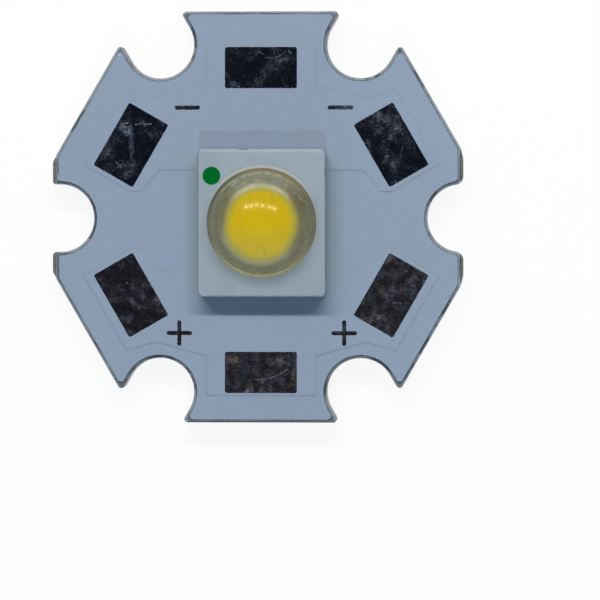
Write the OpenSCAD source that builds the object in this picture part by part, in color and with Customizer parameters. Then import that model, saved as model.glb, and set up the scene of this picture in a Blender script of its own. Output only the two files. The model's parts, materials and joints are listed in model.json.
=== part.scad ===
// Star-shaped aluminium circuit board that carries one ceramic power LED under a clear dome.
// Sizes are in millimetres. The origin is at the middle of the board's underside, with +Z up
// through the dome, +X to the right and +Y towards the two minus signs.

/* [Board] */
// Width of the star across its flats
board_w = 20; // [19.6:0.1:21]
// Width between the two side edges
side_w = 20; // [19.2:0.1:20.4]
// How far the two slanted edges on the right stand out past the width of the star
slant_out = 0.22; // [0:0.02:0.3]
// Rounding where the left side edge meets a slanted edge
left_corner_r = 0.3; // [0.1:0.05:0.4]
// Rounding where the right side edge meets a slanted edge
right_corner_r = 3.5; // [1:0.5:4]
// Thickness of the aluminium core
core_t = 1.5; // [1.2:0.1:2]
// Thickness of the insulating layer on the core
insulation_t = 0.1; // [0.06:0.01:0.15]
// Width of the rolled rim that punching leaves along slanted edges and notches
rim_w = 0.13; // [0.05:0.01:0.2]

/* [Screw notches] */
// Diameter of each notch, which clears an M3 screw
notch_d = 3.3; // [3.2:0.1:3.8]
// How far the notch centres lie inside the flats
notch_in = 0.25; // [0.15:0.05:0.4]
// How far the notches lie to the right of the middle of the outline
notch_x = 0.15; // [-0.2:0.05:0.2]
// How far the notches lie above the middle of the outline
notch_y = -0.06; // [-0.2:0.02:0.2]
// Rounding of the lips at the mouth of a notch
lip_r = 0.18; // [0.06:0.02:0.24]
// Rounding of the two lips of the right-hand notch, which is softer than the others
soft_lip_r = 0.45; // [0.3:0.05:0.5]

/* [Scored edges] */
// Depth of the score groove, from each face of the board
score_depth = 0.5; // [0.3:0.05:0.6]
// Width of the groove's slope on the two side edges
side_slope_w = 0.16; // [0.05:0.01:0.25]
// How far the snapped web stands past the slope on the two side edges
side_web_w = 0.13; // [0.02:0.01:0.2]
// Width of the groove's slope on the top and bottom flats
flat_slope_w = 0.08; // [0.04:0.01:0.2]
// How far the snapped web stands past the slope on the top and bottom flats
flat_web_w = 0.05; // [0.02:0.01:0.15]

/* [Artwork] */
// How far the artwork lies to the right of the middle of the outline
art_x = 0.18; // [-0.2:0.02:0.2]
// How far the artwork lies above the middle of the outline
art_y = -0.15; // [-0.2:0.05:0.2]
// Thickness of the copper foil
copper_t = 0.07; // [0.035:0.005:0.105]
// Width of bare insulation between two copper areas
copper_gap = 0.3; // [0.2:0.05:0.4]
// How far the copper runs on past the outer side of a middle wire pad
pour_side = 0.12; // [0.1:0.01:0.3]
// Half the width of the copper round a middle wire pad
pour_neck = 2.65; // [2.2:0.05:2.7]
// Distance of the neck below that copper from the edge of the star
neck_in = 3.4; // [3.3:0.05:3.5]
// Distance of the valley that the copper leaves for a screw head from the edge of the star
valley_in = 2.2; // [2.15:0.05:2.4]
// Direction of that valley
valley_angle = 49.4; // [49:0.2:50]
// How far a wing of copper runs on past the outer side of its slanted wire pad
wing_side = 0.43; // [0.3:0.01:0.5]
// How far a wing runs on past the upper end of its wire pad
wing_top = 0.45; // [0.3:0.01:0.5]
// How far a wing runs on past the lower end of its wire pad
wing_low = 0.23; // [0.15:0.01:0.3]
// Length of the straight foot of a wing
wing_foot = 0.55; // [0.4:0.05:0.7]
// Distance of the copper's sides beside the emitter from the edge of the star
pour_in = 5.05; // [4.9:0.05:5.2]
// Distance from the middle of the artwork to the straight lower edge of an outer copper area
pour_low = 2.42; // [2.2:0.01:2.6]

/* [Solder mask] */
// Thickness of the mask over the copper
mask_t = 0.03; // [0.03:0.005:0.05]
// How far the mask dips where there is no copper under it
mask_dip = 0.015; // [0.005:0.005:0.025]
// How far the mask stays back from the edge of the board
mask_back = 0.16; // [0.14:0.01:0.2]

/* [Wire pads and signs] */
// Length of a wire pad along the edge of the star
pad_l = 3.5; // [3:0.05:3.8]
// Width of a middle wire pad towards the middle of the star
pad_w = 2; // [1.6:0.05:2.1]
// Width of a slanted wire pad towards the middle of the star
slant_pad_w = 2.2; // [1.8:0.05:2.3]
// Distance of a wire pad's outer side from the edge of the star
pad_in = 1.6; // [1.5:0.05:1.8]
// Rounding of a wire pad's corners
pad_corner_r = 0.1; // [0.05:0.01:0.2]
// Thickness of the tin on pads and signs
tin_t = 0.02; // [0.01:0.005:0.025]
// Length of a stroke of a sign
sign_l = 1.24; // [1:0.02:1.3]
// Width of a stroke of a sign
sign_w = 0.2; // [0.15:0.01:0.24]
// Distance of a minus sign from the edge of the star above it
minus_in = 4.54; // [4.45:0.01:4.7]
// Distance of the left minus sign from the slanted line of the star beside it
minus_left_in = 4.17; // [4:0.01:4.3]
// Distance of the right minus sign from the slanted line of the star beside it
minus_right_in = 3.92; // [3.8:0.01:4.2]
// Distance of a plus sign from the edge of the star below it
plus_in = 4.51; // [4.48:0.01:4.7]
// Distance of the left plus sign from the slanted line of the star beside it
plus_left_in = 3.82; // [3.7:0.01:4]
// Distance of the right plus sign from the slanted line of the star beside it
plus_right_in = 3.75; // [3.7:0.01:4]

/* [Emitter package] */
// How far the emitter sits to the right of the middle of the artwork
emitter_x = 0.09; // [-0.15:0.01:0.15]
// How far the emitter sits above the middle of the artwork
emitter_y = -0.14; // [-0.16:0.02:0.16]
// Width of the ceramic
ceramic_w = 6.15; // [6:0.05:7]
// Length of the ceramic
ceramic_l = 7.15; // [7:0.05:8]
// Thickness of the ceramic
ceramic_t = 1.15; // [0.6:0.05:1.5]
// Bevel along the upper edges of the ceramic
ceramic_bevel = 0.06; // [0.02:0.01:0.12]
// Size of the corner that is cut off to mark the plus side
key_corner = 0.16; // [0.05:0.01:0.3]
// Thickness of the solder under the emitter
solder_t = 0.05; // [0.04:0.01:0.1]
// Thickness of the metal contacts under the ceramic
contact_t = 0.05; // [0.02:0.01:0.08]
// Width of the three contacts
contact_w = 5.4; // [4.8:0.1:5.5]
// Length of the middle contact, which carries the heat
heat_contact_l = 1.8; // [1.6:0.05:2]
// Length of each of the two end contacts
end_contact_l = 1.45; // [1.2:0.05:1.5]
// Gap between the middle contact and an end contact
contact_gap = 0.8; // [0.7:0.05:0.85]
// How far a mask window stands past the contact above it
land_margin = 0.18; // [0.17:0.01:0.2]
// How far the copper stands past a mask window
land_lap = 0.1; // [0.05:0.01:0.12]
// Diameter of a filled hole through the ceramic
via_d = 0.24; // [0.15:0.01:0.26]
// Number of filled holes to each end contact
via_count = 4; // [2:1:4]
// Distance of the filled holes from the middle of the emitter
via_r = 2.12; // [2.1:0.01:2.2]
// Angle that one row of filled holes spans
via_span = 52; // [40:1:54]
// Diameter of the green polarity dot
dot_d = 0.86; // [0.6:0.02:0.9]
// Thickness of the dot's ink
dot_t = 0.015; // [0.01:0.005:0.03]
// Distance of the dot from the middle of the emitter, to the left
dot_x = 2.42; // [2.38:0.02:2.5]
// Distance of the dot above the middle of the emitter
dot_y = 2.28; // [2.2:0.02:2.6]

/* [Light source] */
// Thickness of the metal film on top of the ceramic
film_t = 0.02; // [0.01:0.005:0.04]
// Diameter of the metal film
film_d = 4.9; // [4.6:0.05:5]
// Gap between two areas of metal film
film_gap = 0.12; // [0.06:0.01:0.14]
// Side of the square chip
chip_w = 1.4; // [1.2:0.05:1.45]
// Thickness of the chip
chip_t = 0.12; // [0.1:0.01:0.14]
// How far the film under the chip stands past it
chip_margin = 0.06; // [0.02:0.01:0.08]
// Thickness of the bond under the chip
bond_t = 0.02; // [0.01:0.005:0.03]
// Diameter of a bond wire
wire_d = 0.05; // [0.03:0.005:0.05]
// Diameter of the foot that a bond wire is welded down with
wire_foot_d = 0.1; // [0.08:0.01:0.11]
// Height of a bond wire's loop above the straight line between its feet
wire_rise = 0.07; // [0.06:0.01:0.08]
// Clearance between a bond wire's outer foot and the rim of the phosphor
wire_rim_gap = 0.08; // [0.06:0.01:0.1]
// Distance of a bond wire's inner foot from the edge of the chip
wire_inset = 0.06; // [0.05:0.01:0.08]
// Distance of the two upper bond wires from the middle
wire_top_x = 0.4; // [0.3:0.05:0.45]
// Distance of the two lower bond wires from the middle
wire_low_x = 0.14; // [0.1:0.02:0.4]
// Diameter of the phosphor
phosphor_d = 2.6; // [2.5:0.02:2.8]
// How far the phosphor bulges above its rim
phosphor_crown = 0.22; // [0.2:0.01:0.3]
// Width of the white ring round the phosphor
dam_w = 0.2; // [0.14:0.01:0.26]
// Height of the white ring
dam_h = 0.2; // [0.18:0.01:0.26]

/* [Dome] */
// Diameter of the flange at the foot of the dome
flange_d = 5.3; // [5.2:0.02:5.6]
// Thickness of the flange
flange_t = 0.12; // [0.06:0.01:0.2]
// Diameter of the dome where it leaves the flange
dome_d = 5.02; // [4.9:0.02:5.1]
// Height of the dome above the flange
dome_h = 2.35; // [1.6:0.05:2.4]

/* [Hidden] */
$fn = 64;
// Length by which a cutter runs past what it cuts
past = 0.5;
// Heights of the board's layers
z_insulation = core_t + insulation_t;
z_copper = z_insulation + copper_t;
z_mask = z_copper + mask_t;
z_mask_low = z_mask - mask_dip;
// Heights of the emitter's layers
z_contact = z_copper + solder_t;
z_ceramic = z_contact + contact_t;
z_top = z_ceramic + ceramic_t;
z_film = z_top + film_t;
z_chip = z_film + bond_t;
z_chip_top = z_chip + chip_t;
// Radius of a notch, distances of notches and pads from the middle, and their angles
notch_r = notch_d / 2;
notch_pitch_r = board_w / 2 - notch_in;
pad_out = board_w / 2 - pad_in;
NOTCHES = [0:60:300];
MINUS_PADS = [150, 90, 30];
PLUS_PADS = [210, 270, 330];
// The edge of the star also gives the copper areas and the signs their places
neck_y = board_w / 2 - neck_in;
valley_r = board_w / 2 - valley_in;
pour_half_w = board_w / 2 - pour_in;
minus_y = board_w / 2 - minus_in;
plus_y = board_w / 2 - plus_in;
// Straight edges of the outline, each as the direction it faces and its distance from the middle
FLATS = [[90, board_w / 2], [270, board_w / 2]];
SIDES = [[0, side_w / 2], [180, side_w / 2]];
SLANTS = [
    [30, board_w / 2 + slant_out], [330, board_w / 2 + slant_out],
    [150, board_w / 2], [210, board_w / 2]
];
EDGES = concat(FLATS, SIDES, SLANTS);
// Angle at which a rounding crosses the edges beside it
lip_crossing = 10;
// Inner and outer ends of an end contact, and where the copper below is parted
end_contact_in = heat_contact_l / 2 + contact_gap;
end_contact_mid = end_contact_in + end_contact_l / 2;
parting = (heat_contact_l + contact_gap) / 2;
land_w = contact_w + 2 * land_margin;
tongue_w = land_w + 2 * land_lap;
// Half the side of the film under the chip, and the inner edge of the outer films
chip_film_half = chip_w / 2 + chip_margin;
film_in = chip_film_half + film_gap;
// Distances of a bond wire's inner and outer foot from the middle, along the wire
wire_top = chip_w / 2 - wire_inset;
wire_foot_r = (phosphor_d - wire_foot_d) / 2 - wire_rim_gap;
wire_foot = sqrt(pow(wire_foot_r, 2) - pow(max(wire_top_x, wire_low_x), 2));
// Radius of the ball that the dome is a cap of, and the same for the phosphor's bulge
dome_ball_r = (pow(dome_d / 2, 2) + pow(dome_h, 2)) / (2 * dome_h);
phosphor_ball_r = (pow(phosphor_d / 2, 2) + pow(phosphor_crown, 2)) / (2 * phosphor_crown);
phosphor_rim = dam_h - dam_w / 2;
dam_r = phosphor_d / 2 + dam_w;

// Directions along and across an angle
function along(a) = [cos(a), sin(a)];
function across(a) = [-sin(a), cos(a)];
// Distance from p along u to an edge of the outline that is moved in by inset
function reach(p, u, edge, inset) =
    let (facing = along(edge[0]) * u)
    facing > 0.01 ? (edge[1] - inset - along(edge[0]) * p) / facing : 1000;
// Height at which a slanted edge, at distance d from the middle, crosses x
function crossing(x, d) = (d - x * cos(30)) / sin(30);
// Distance of a sign from the middle, to the side, from its height and its slanted line's distance
function sign_x(y, slant_in) = (board_w / 2 - slant_in - y * sin(30)) / cos(30);
// Point at distance r in the direction of a slanted pad and t across it
function wing(r, t) = r * along(30) + t * across(30);

// Puts things where the artwork lies
module art() {
    translate([art_x, art_y]) children();
}

// Puts things where the notches lie
module punched() {
    translate([notch_x, notch_y]) children();
}

// Puts things where the emitter lies
module emitter(z) {
    translate([art_x + emitter_x, art_y + emitter_y, z]) children();
}

// The sliver that rounds off the corner p between edges that leave along d1 and d2.
// The rounding crosses each edge at a slight angle, because punched lips are never quite tangent.
module corner_sliver(p, d1, d2, r) {
    half = acos(d1 * d2) / 2;
    depth = r * cos(lip_crossing);
    middle = p + (d1 + d2) / norm(d1 + d2) * depth / sin(half);
    foot1 = p + d1 * depth / tan(half) - middle;
    foot2 = p + d2 * depth / tan(half) - middle;
    stretch = 1.4;
    translate(middle)
        difference() {
            polygon([[0, 0], foot1 * stretch, (p - middle) * stretch, foot2 * stretch]);
            circle(r);
        }
}

// The slivers that round the two soft lips, where the right-hand notch's arc runs out into the side
module soft_lip_slivers(inset) {
    depth = soft_lip_r * cos(lip_crossing);
    wall_r = notch_r + inset;
    arc_x = notch_x + notch_pitch_r;
    middle_x = side_w / 2 - inset - depth;
    rise = sqrt(pow(wall_r + depth, 2) - pow(min(middle_x - arc_x, 0), 2));
    stretch = 1.4;
    for (y = [1, -1]) {
        to_wall = [max(arc_x - middle_x, 0), -y * rise];
        translate([middle_x, notch_y + y * rise])
            difference() {
                polygon([
                    [0, 0], to_wall / norm(to_wall) * depth * stretch,
                    [depth * stretch, y * (wall_r - rise - depth * (stretch - 1))],
                    [depth * stretch, 0]
                ]);
                circle(soft_lip_r);
            }
    }
}

// The slivers that round both lips of the notch at angle a
module lip_slivers(a, inset) {
    for (side = [1, -1]) {
        start = [notch_x, notch_y] + side * (notch_r + inset) * across(a);
        reaches = [for (edge = EDGES) reach(start, along(a), edge, inset)];
        nearest = min(reaches);
        edge = [for (i = [0:len(EDGES) - 1]) if (reaches[i] == nearest) EDGES[i]][0];
        away = side * across(edge[0]) * (across(edge[0]) * across(a) > 0 ? 1 : -1);
        corner_sliver(start + nearest * along(a), -along(a), away, lip_r);
    }
}

// The star's outline, moved in by inset
module board_2d(inset = 0) {
    difference() {
        intersection() {
            square([side_w - 2 * inset, board_w - 2 * inset], center = true);
            intersection_for (edge = SLANTS)
                rotate(edge[0])
                    translate([edge[1] - inset - 2 * board_w, -board_w])
                        square(2 * board_w);
        }
        for (x = [1, -1], y = [1, -1]) {
            side = side_w / 2 - inset;
            slant = board_w / 2 - inset + (x > 0 ? slant_out : 0);
            corner_sliver(
                [x * side, y * crossing(side, slant)], [0, -y], [-x * sin(30), y * cos(30)],
                x > 0 ? right_corner_r : left_corner_r
            );
        }
        punched()
            for (a = NOTCHES)
                rotate(a) {
                    translate([notch_pitch_r, 0]) circle(notch_r + inset);
                    translate([notch_pitch_r, -notch_r - inset])
                        square([board_w / 2, notch_d + 2 * inset]);
                }
        for (a = [60:60:300]) lip_slivers(a, inset);
        soft_lip_slivers(inset);
    }
}

// One straight groove pair along an edge: slopes from both faces down to the web that was snapped
module score(a, edge, slope_w, web_w) {
    web = edge - web_w;
    lean = slope_w / score_depth;
    rotate([90, 0, a])
        linear_extrude(2 * board_w, center = true) {
            polygon([
                [web - slope_w - lean * past, z_mask + past], [web, z_mask - score_depth],
                [edge + past, z_mask - score_depth], [edge + past, z_mask + past]
            ]);
            polygon([
                [web - slope_w - lean * past, -past], [web, score_depth],
                [edge + past, score_depth], [edge + past, -past]
            ]);
        }
}

module scores() {
    for (edge = SIDES) score(edge[0], edge[1], side_slope_w, side_web_w);
    for (edge = FLATS) score(edge[0], edge[1], flat_slope_w, flat_web_w);
}

// The sloped rim that punching leaves on the slanted edges and round the notches
module punched_rim() {
    for (edge = SLANTS)
        rotate([90, 0, edge[0]])
            linear_extrude(2 * board_w, center = true)
                polygon([
                    [edge[1] - rim_w - past, z_insulation + past],
                    [edge[1] + past, z_insulation - rim_w - past],
                    [edge[1] + past, z_insulation + past]
                ]);
    punched()
        for (a = NOTCHES)
            rotate(a)
                translate([notch_pitch_r, 0, 0]) {
                    translate([0, 0, z_insulation - rim_w - past])
                        cylinder(h = rim_w + 2 * past, r1 = notch_r - past, r2 = notch_r + rim_w + past);
                    rotate([90, 0, 90])
                        linear_extrude(board_w / 2)
                            polygon([
                                [-notch_r + past, z_insulation - rim_w - past],
                                [notch_r - past, z_insulation - rim_w - past],
                                [notch_r + rim_w + past, z_insulation + past],
                                [-notch_r - rim_w - past, z_insulation + past]
                            ]);
                }
}

// A layer of the board from height z0 to z1, with its punched rim and scored edges
module board_layer(z0, z1) {
    difference() {
        translate([0, 0, z0]) linear_extrude(z1 - z0) board_2d();
        punched_rim();
        scores();
    }
}

// Rectangle with round corners, centred
module round_rect(w, l, r) {
    square([w - 2 * r, l], center = true);
    square([w, l - 2 * r], center = true);
    for (x = [1, -1], y = [1, -1])
        translate([x * (w / 2 - r), y * (l / 2 - r)]) circle(r);
}

// Stroke with round ends, centred
module stroke(angle) {
    rotate(angle) {
        square([sign_l - sign_w, sign_w], center = true);
        for (x = [1, -1]) translate([x * (sign_l - sign_w) / 2, 0]) circle(sign_w / 2);
    }
}

module pad_2d(a) {
    w = a % 180 == 90 ? pad_w : slant_pad_w;
    rotate(a) translate([pad_out - w / 2, 0]) round_rect(w, pad_l, pad_corner_r);
}

module minus_2d(side) {
    x = sign_x(minus_y, side < 0 ? minus_left_in : minus_right_in);
    translate([side * x, minus_y]) stroke(0);
}

module plus_2d(side) {
    x = sign_x(plus_y, side < 0 ? plus_left_in : plus_right_in);
    translate([side * x, -plus_y])
        for (angle = [0, 90]) stroke(angle);
}

// One of the two outer copper areas. It holds the middle wire pad, spreads into two wings under
// the slanted ones, leaves a valley on each side for a screw head, and ends in a tongue that runs
// in under the emitter.
module pour_2d() {
    block_top = pad_out + pour_side;
    wing_out = pad_out + wing_side;
    wing_end = -pad_l / 2 - wing_low;
    foot = wing(pad_out - slant_pad_w, wing_end);
    tongue_low = parting + copper_gap / 2;
    right = [
        [pour_neck, block_top], [pour_neck, neck_y], valley_r * along(valley_angle),
        wing(wing_out, pad_l / 2 + wing_top), wing(wing_out, wing_end),
        foot, foot - [wing_foot, 0], [pour_half_w, pour_low],
        [tongue_w / 2, pour_low], [tongue_w / 2, tongue_low]
    ];
    polygon(concat(right, [for (i = [len(right) - 1:-1:0]) [-right[i].x, right[i].y]]));
}

// The middle copper area lies under the emitter, between the two tongues
module spreader_2d() {
    square([tongue_w, 2 * parting - copper_gap], center = true);
}

module copper_2d() {
    pour_2d();
    rotate(180) pour_2d();
    spreader_2d();
}

// Everything that the mask leaves open
module windows_2d() {
    for (a = concat(MINUS_PADS, PLUS_PADS)) pad_2d(a);
    for (side = [1, -1]) {
        minus_2d(side);
        plus_2d(side);
        translate([0, side * end_contact_mid])
            square([land_w, end_contact_l + 2 * land_margin], center = true);
    }
    square([land_w, heat_contact_l + 2 * land_margin], center = true);
}

// A flat piece of thickness t on the artwork at height z
module foil(z, t) {
    translate([0, 0, z]) linear_extrude(t) art() children();
}

module aluminium_core() {
    color("#8e9499") board_layer(0, core_t);
}

module insulation_layer() {
    color("#717b80") board_layer(core_t, z_insulation);
}

module copper_minus() {
    color("#b57a4a") foil(z_insulation, copper_t) pour_2d();
}

module copper_plus() {
    color("#b57a4a") foil(z_insulation, copper_t) rotate(180) pour_2d();
}

module heat_spreader() {
    color("#b57a4a") foil(z_insulation, copper_t) spreader_2d();
}

// The white mask fills the space between the copper areas, dips there, and lies over them
module solder_mask() {
    color("#8b9db3")
        difference() {
            union() {
                translate([0, 0, z_insulation])
                    linear_extrude(z_mask_low - z_insulation) board_2d(mask_back);
                foil(z_insulation, z_mask - z_insulation) copper_2d();
            }
            foil(z_insulation - past, copper_t + past) copper_2d();
            foil(z_insulation, z_mask - z_insulation + past) windows_2d();
            scores();
        }
}

// Tin coats lie on the copper inside the mask's windows
module tin_pad(a) {
    color("#2b2f36") foil(z_copper, tin_t) pad_2d(a);
}

module pad_minus_left() {
    tin_pad(MINUS_PADS[0]);
}

module pad_minus_middle() {
    tin_pad(MINUS_PADS[1]);
}

module pad_minus_right() {
    tin_pad(MINUS_PADS[2]);
}

module pad_plus_left() {
    tin_pad(PLUS_PADS[0]);
}

module pad_plus_middle() {
    tin_pad(PLUS_PADS[1]);
}

module pad_plus_right() {
    tin_pad(PLUS_PADS[2]);
}

module tin_sign() {
    color("#24272d") foil(z_copper, tin_t) children();
}

module sign_minus_left() {
    tin_sign() minus_2d(-1);
}

module sign_minus_right() {
    tin_sign() minus_2d(1);
}

module sign_plus_left() {
    tin_sign() plus_2d(-1);
}

module sign_plus_right() {
    tin_sign() plus_2d(1);
}

// A flat rectangle under the emitter, from height z up by t, with its middle at y
module under_emitter(z, t, y, l) {
    emitter(z) translate([0, y, t / 2]) cube([contact_w, l, t], center = true);
}

module solder_minus() {
    color("#a4a7aa") under_emitter(z_copper, solder_t, end_contact_mid, end_contact_l);
}

module solder_plus() {
    color("#a4a7aa") under_emitter(z_copper, solder_t, -end_contact_mid, end_contact_l);
}

module solder_heat() {
    color("#a4a7aa") under_emitter(z_copper, solder_t, 0, heat_contact_l);
}

module contact_minus() {
    color("#c9b47e") under_emitter(z_contact, contact_t, end_contact_mid, end_contact_l);
}

module contact_plus() {
    color("#c9b47e") under_emitter(z_contact, contact_t, -end_contact_mid, end_contact_l);
}

module contact_heat() {
    color("#c9b47e") under_emitter(z_contact, contact_t, 0, heat_contact_l);
}

// One row of filled holes through the ceramic, above the middle for side 1 and below it for -1
module via_row(side) {
    for (i = [0:via_count - 1])
        rotate(side * (90 - via_span / 2 + via_span * i / (via_count - 1)))
            translate([via_r, 0, 0]) cylinder(h = ceramic_t, d = via_d);
}

// Ceramic plate with bevelled upper edges and one corner cut off
module ceramic_base() {
    half_w = ceramic_w / 2;
    half_l = ceramic_l / 2;
    color("#94a3af")
        emitter(z_ceramic)
            difference() {
                linear_extrude(ceramic_t)
                    polygon([
                        [half_w, -half_l], [half_w, half_l], [-half_w, half_l],
                        [-half_w, key_corner - half_l], [key_corner - half_w, -half_l]
                    ]);
                for (a = [0:90:270]) {
                    half = a % 180 == 0 ? half_w : half_l;
                    rotate([90, 0, a])
                        linear_extrude(2 * ceramic_l, center = true)
                            polygon([
                                [half - ceramic_bevel - past, ceramic_t + past],
                                [half + past, ceramic_t - ceramic_bevel - past],
                                [half + past, ceramic_t + past]
                            ]);
                }
                for (side = [1, -1]) via_row(side);
            }
}

module vias_minus() {
    color("#d8c48c") emitter(z_ceramic) via_row(1);
}

module vias_plus() {
    color("#d8c48c") emitter(z_ceramic) via_row(-1);
}

// Half of the round metal film, with a notch for the chip's own film
module half_film(side) {
    color("#8f8b76")
        emitter(z_top)
            linear_extrude(film_t)
                rotate(side > 0 ? 0 : 180)
                    difference() {
                        circle(d = film_d);
                        translate([-film_d, film_gap / 2 - film_d]) square([2 * film_d, film_d]);
                        square(2 * film_in, center = true);
                    }
}

module film_minus() {
    half_film(1);
}

module film_plus() {
    half_film(-1);
}

module chip_film() {
    color("#8f8b76")
        emitter(z_top) translate([0, 0, film_t / 2])
            cube([2 * chip_film_half, 2 * chip_film_half, film_t], center = true);
}

module chip_bond() {
    color("#b9bcc0")
        emitter(z_film) translate([0, 0, bond_t / 2])
            cube([chip_w, chip_w, bond_t], center = true);
}

module led_chip() {
    color("#5d7fae")
        emitter(z_chip) translate([0, 0, chip_t / 2])
            cube([chip_w, chip_w, chip_t], center = true);
}

// One looped wire from the chip's top down to the film, at x, above the middle for side 1.
// The loop is an arc through the middles of both feet.
module bond_wire(x, side) {
    inner = [wire_top, z_chip_top + wire_d / 2];
    outer = [wire_foot, z_film + wire_d / 2];
    span = outer - inner;
    half = norm(span) / 2;
    loop_r = (half * half + wire_rise * wire_rise) / (2 * wire_rise);
    middle = (inner + outer) / 2 + [span[1], -span[0]] / norm(span) * (loop_r - wire_rise);
    from = atan2(outer[1] - middle[1], outer[0] - middle[0]);
    to = atan2(inner[1] - middle[1], inner[0] - middle[0]);
    translate([x, 0, 0])
        rotate([90, 0, side > 0 ? 90 : -90]) {
            translate([middle[0], middle[1], 0])
                rotate(from)
                    rotate_extrude(angle = to - from)
                        translate([loop_r, 0]) circle(d = wire_d);
            for (foot = [inner, outer])
                translate([foot[0], foot[1] - wire_d / 2, 0])
                    rotate([-90, 0, 0]) cylinder(h = wire_d, d = wire_foot_d);
        }
}

module wire_set() {
    for (x = [wire_top_x, -wire_top_x]) bond_wire(x, 1);
    for (x = [wire_low_x, -wire_low_x]) bond_wire(x, -1);
}

module bond_wires() {
    color("#d9b451") emitter(0) wire_set();
}

// Section of the white ring: a low wall with a round back
module dam_section() {
    translate([phosphor_d / 2, 0]) square([dam_w, phosphor_rim]);
    intersection() {
        translate([phosphor_d / 2 + dam_w / 2, phosphor_rim]) circle(dam_w / 2);
        translate([0, phosphor_rim]) square(dam_r + past);
    }
}

// Section of the phosphor: flat below, bulging above
module phosphor_section() {
    square([phosphor_d / 2, phosphor_rim]);
    intersection() {
        translate([0, phosphor_rim + phosphor_crown - phosphor_ball_r]) circle(phosphor_ball_r, $fn = 128);
        translate([0, phosphor_rim]) square([phosphor_d / 2, phosphor_crown + past]);
    }
}

module dam_ring() {
    color("#d5dadd") emitter(z_film) rotate_extrude() dam_section();
}

module phosphor() {
    color("#bda832")
        difference() {
            emitter(z_film) rotate_extrude() phosphor_section();
            emitter(z_film - past)
                translate([0, 0, (past + bond_t + chip_t) / 2])
                    cube([chip_w, chip_w, past + bond_t + chip_t], center = true);
            emitter(0) wire_set();
        }
}

// Clear dome moulded over the light source: a flange and a cap of a ball
module dome_lens() {
    color([0.86, 0.85, 0.74, 0.4])
        emitter(z_top)
            rotate_extrude()
                difference() {
                    union() {
                        square([flange_d / 2, flange_t]);
                        intersection() {
                            translate([0, flange_t + dome_h - dome_ball_r]) circle(dome_ball_r, $fn = 128);
                            translate([0, flange_t / 2]) square(2 * dome_d);
                        }
                    }
                    translate([0, -past]) square([film_d / 2, film_t + past]);
                    translate([0, film_t]) dam_section();
                    translate([0, film_t]) phosphor_section();
                }
}

module polarity_dot() {
    color("#046a2a") emitter(z_top) translate([-dot_x, dot_y, 0]) cylinder(h = dot_t, d = dot_d);
}

aluminium_core();
insulation_layer();
copper_minus();
copper_plus();
heat_spreader();
solder_mask();
pad_minus_left();
pad_minus_middle();
pad_minus_right();
pad_plus_left();
pad_plus_middle();
pad_plus_right();
sign_minus_left();
sign_minus_right();
sign_plus_left();
sign_plus_right();
solder_minus();
solder_plus();
solder_heat();
contact_minus();
contact_plus();
contact_heat();
ceramic_base();
vias_minus();
vias_plus();
film_minus();
film_plus();
chip_film();
chip_bond();
led_chip();
bond_wires();
dam_ring();
phosphor();
dome_lens();
polarity_dot();
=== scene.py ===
"""Dresses a packed star-shaped LED board and sets it in a plain studio.

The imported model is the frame. The board's layers keep their solids and get worked-out finishes.
The tinned pads and signs, the ceramic plate, the phosphor with its ring, and the clear dome are
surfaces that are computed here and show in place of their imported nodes. Lengths are in
millimetres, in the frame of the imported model, until a mesh is written in metres.
"""

from __future__ import annotations

import json
import logging
import math
from dataclasses import dataclass, field, replace
from enum import Enum
from functools import reduce
from typing import Protocol, Sequence, Union

import bpy
import numpy as np
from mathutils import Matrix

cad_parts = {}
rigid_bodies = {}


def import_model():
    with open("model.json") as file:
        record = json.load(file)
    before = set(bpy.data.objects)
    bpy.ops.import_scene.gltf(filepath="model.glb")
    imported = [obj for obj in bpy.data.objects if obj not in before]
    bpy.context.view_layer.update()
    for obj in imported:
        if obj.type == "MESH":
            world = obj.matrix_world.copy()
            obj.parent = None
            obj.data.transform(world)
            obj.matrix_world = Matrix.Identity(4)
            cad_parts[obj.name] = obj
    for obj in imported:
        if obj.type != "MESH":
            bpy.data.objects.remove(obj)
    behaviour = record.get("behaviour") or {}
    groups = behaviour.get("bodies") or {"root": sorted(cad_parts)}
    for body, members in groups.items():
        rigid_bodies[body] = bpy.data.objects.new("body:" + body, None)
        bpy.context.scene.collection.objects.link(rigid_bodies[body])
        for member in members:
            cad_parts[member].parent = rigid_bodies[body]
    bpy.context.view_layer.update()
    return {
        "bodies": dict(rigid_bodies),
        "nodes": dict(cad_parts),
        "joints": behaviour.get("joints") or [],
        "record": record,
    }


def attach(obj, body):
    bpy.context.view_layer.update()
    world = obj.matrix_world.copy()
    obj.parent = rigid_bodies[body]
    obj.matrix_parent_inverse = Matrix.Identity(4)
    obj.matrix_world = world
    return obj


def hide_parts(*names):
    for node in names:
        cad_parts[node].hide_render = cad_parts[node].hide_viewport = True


log = logging.getLogger("led_board")

MM = 0.001
# Middles of the board's artwork and of the emitter
ART = (0.18, -0.15)
EMITTER = (0.27, -0.29)
# The shift that puts the emitter's middle at the origin
TO_EMITTER = (-EMITTER[0], -EMITTER[1], 0.0)
# Size of the ceramic plate
PLATE_W = 6.15
PLATE_L = 7.15
# Direction in which the dome throws most of the light that goes through it
LOWER_LEFT = (-0.26, -0.966)
# Colours that two finishes share
MILK = (200, 204, 183)
OLIVE = (99, 98, 46)

Socket = bpy.types.NodeSocket
Feed = Union[Socket, float, Sequence[float]]
Colour = tuple[float, float, float]
Frame = dict[str, object]
Faces = Sequence[Sequence[int]]


def ink(red: float, green: float, blue: float) -> tuple[float, float, float, float]:
    """Turns a colour as a screen shows it, 0 to 255, into linear light.

    Args:
        red, green, blue: the screen's values.

    Returns:
        Linear red, green, blue and an alpha of 1.
    """
    shares = np.array([red, green, blue]) / 255
    linear = np.where(shares <= 0.04045, shares / 12.92, ((shares + 0.055) / 1.055) ** 2.4)
    return float(linear[0]), float(linear[1]), float(linear[2]), 1.0


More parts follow.
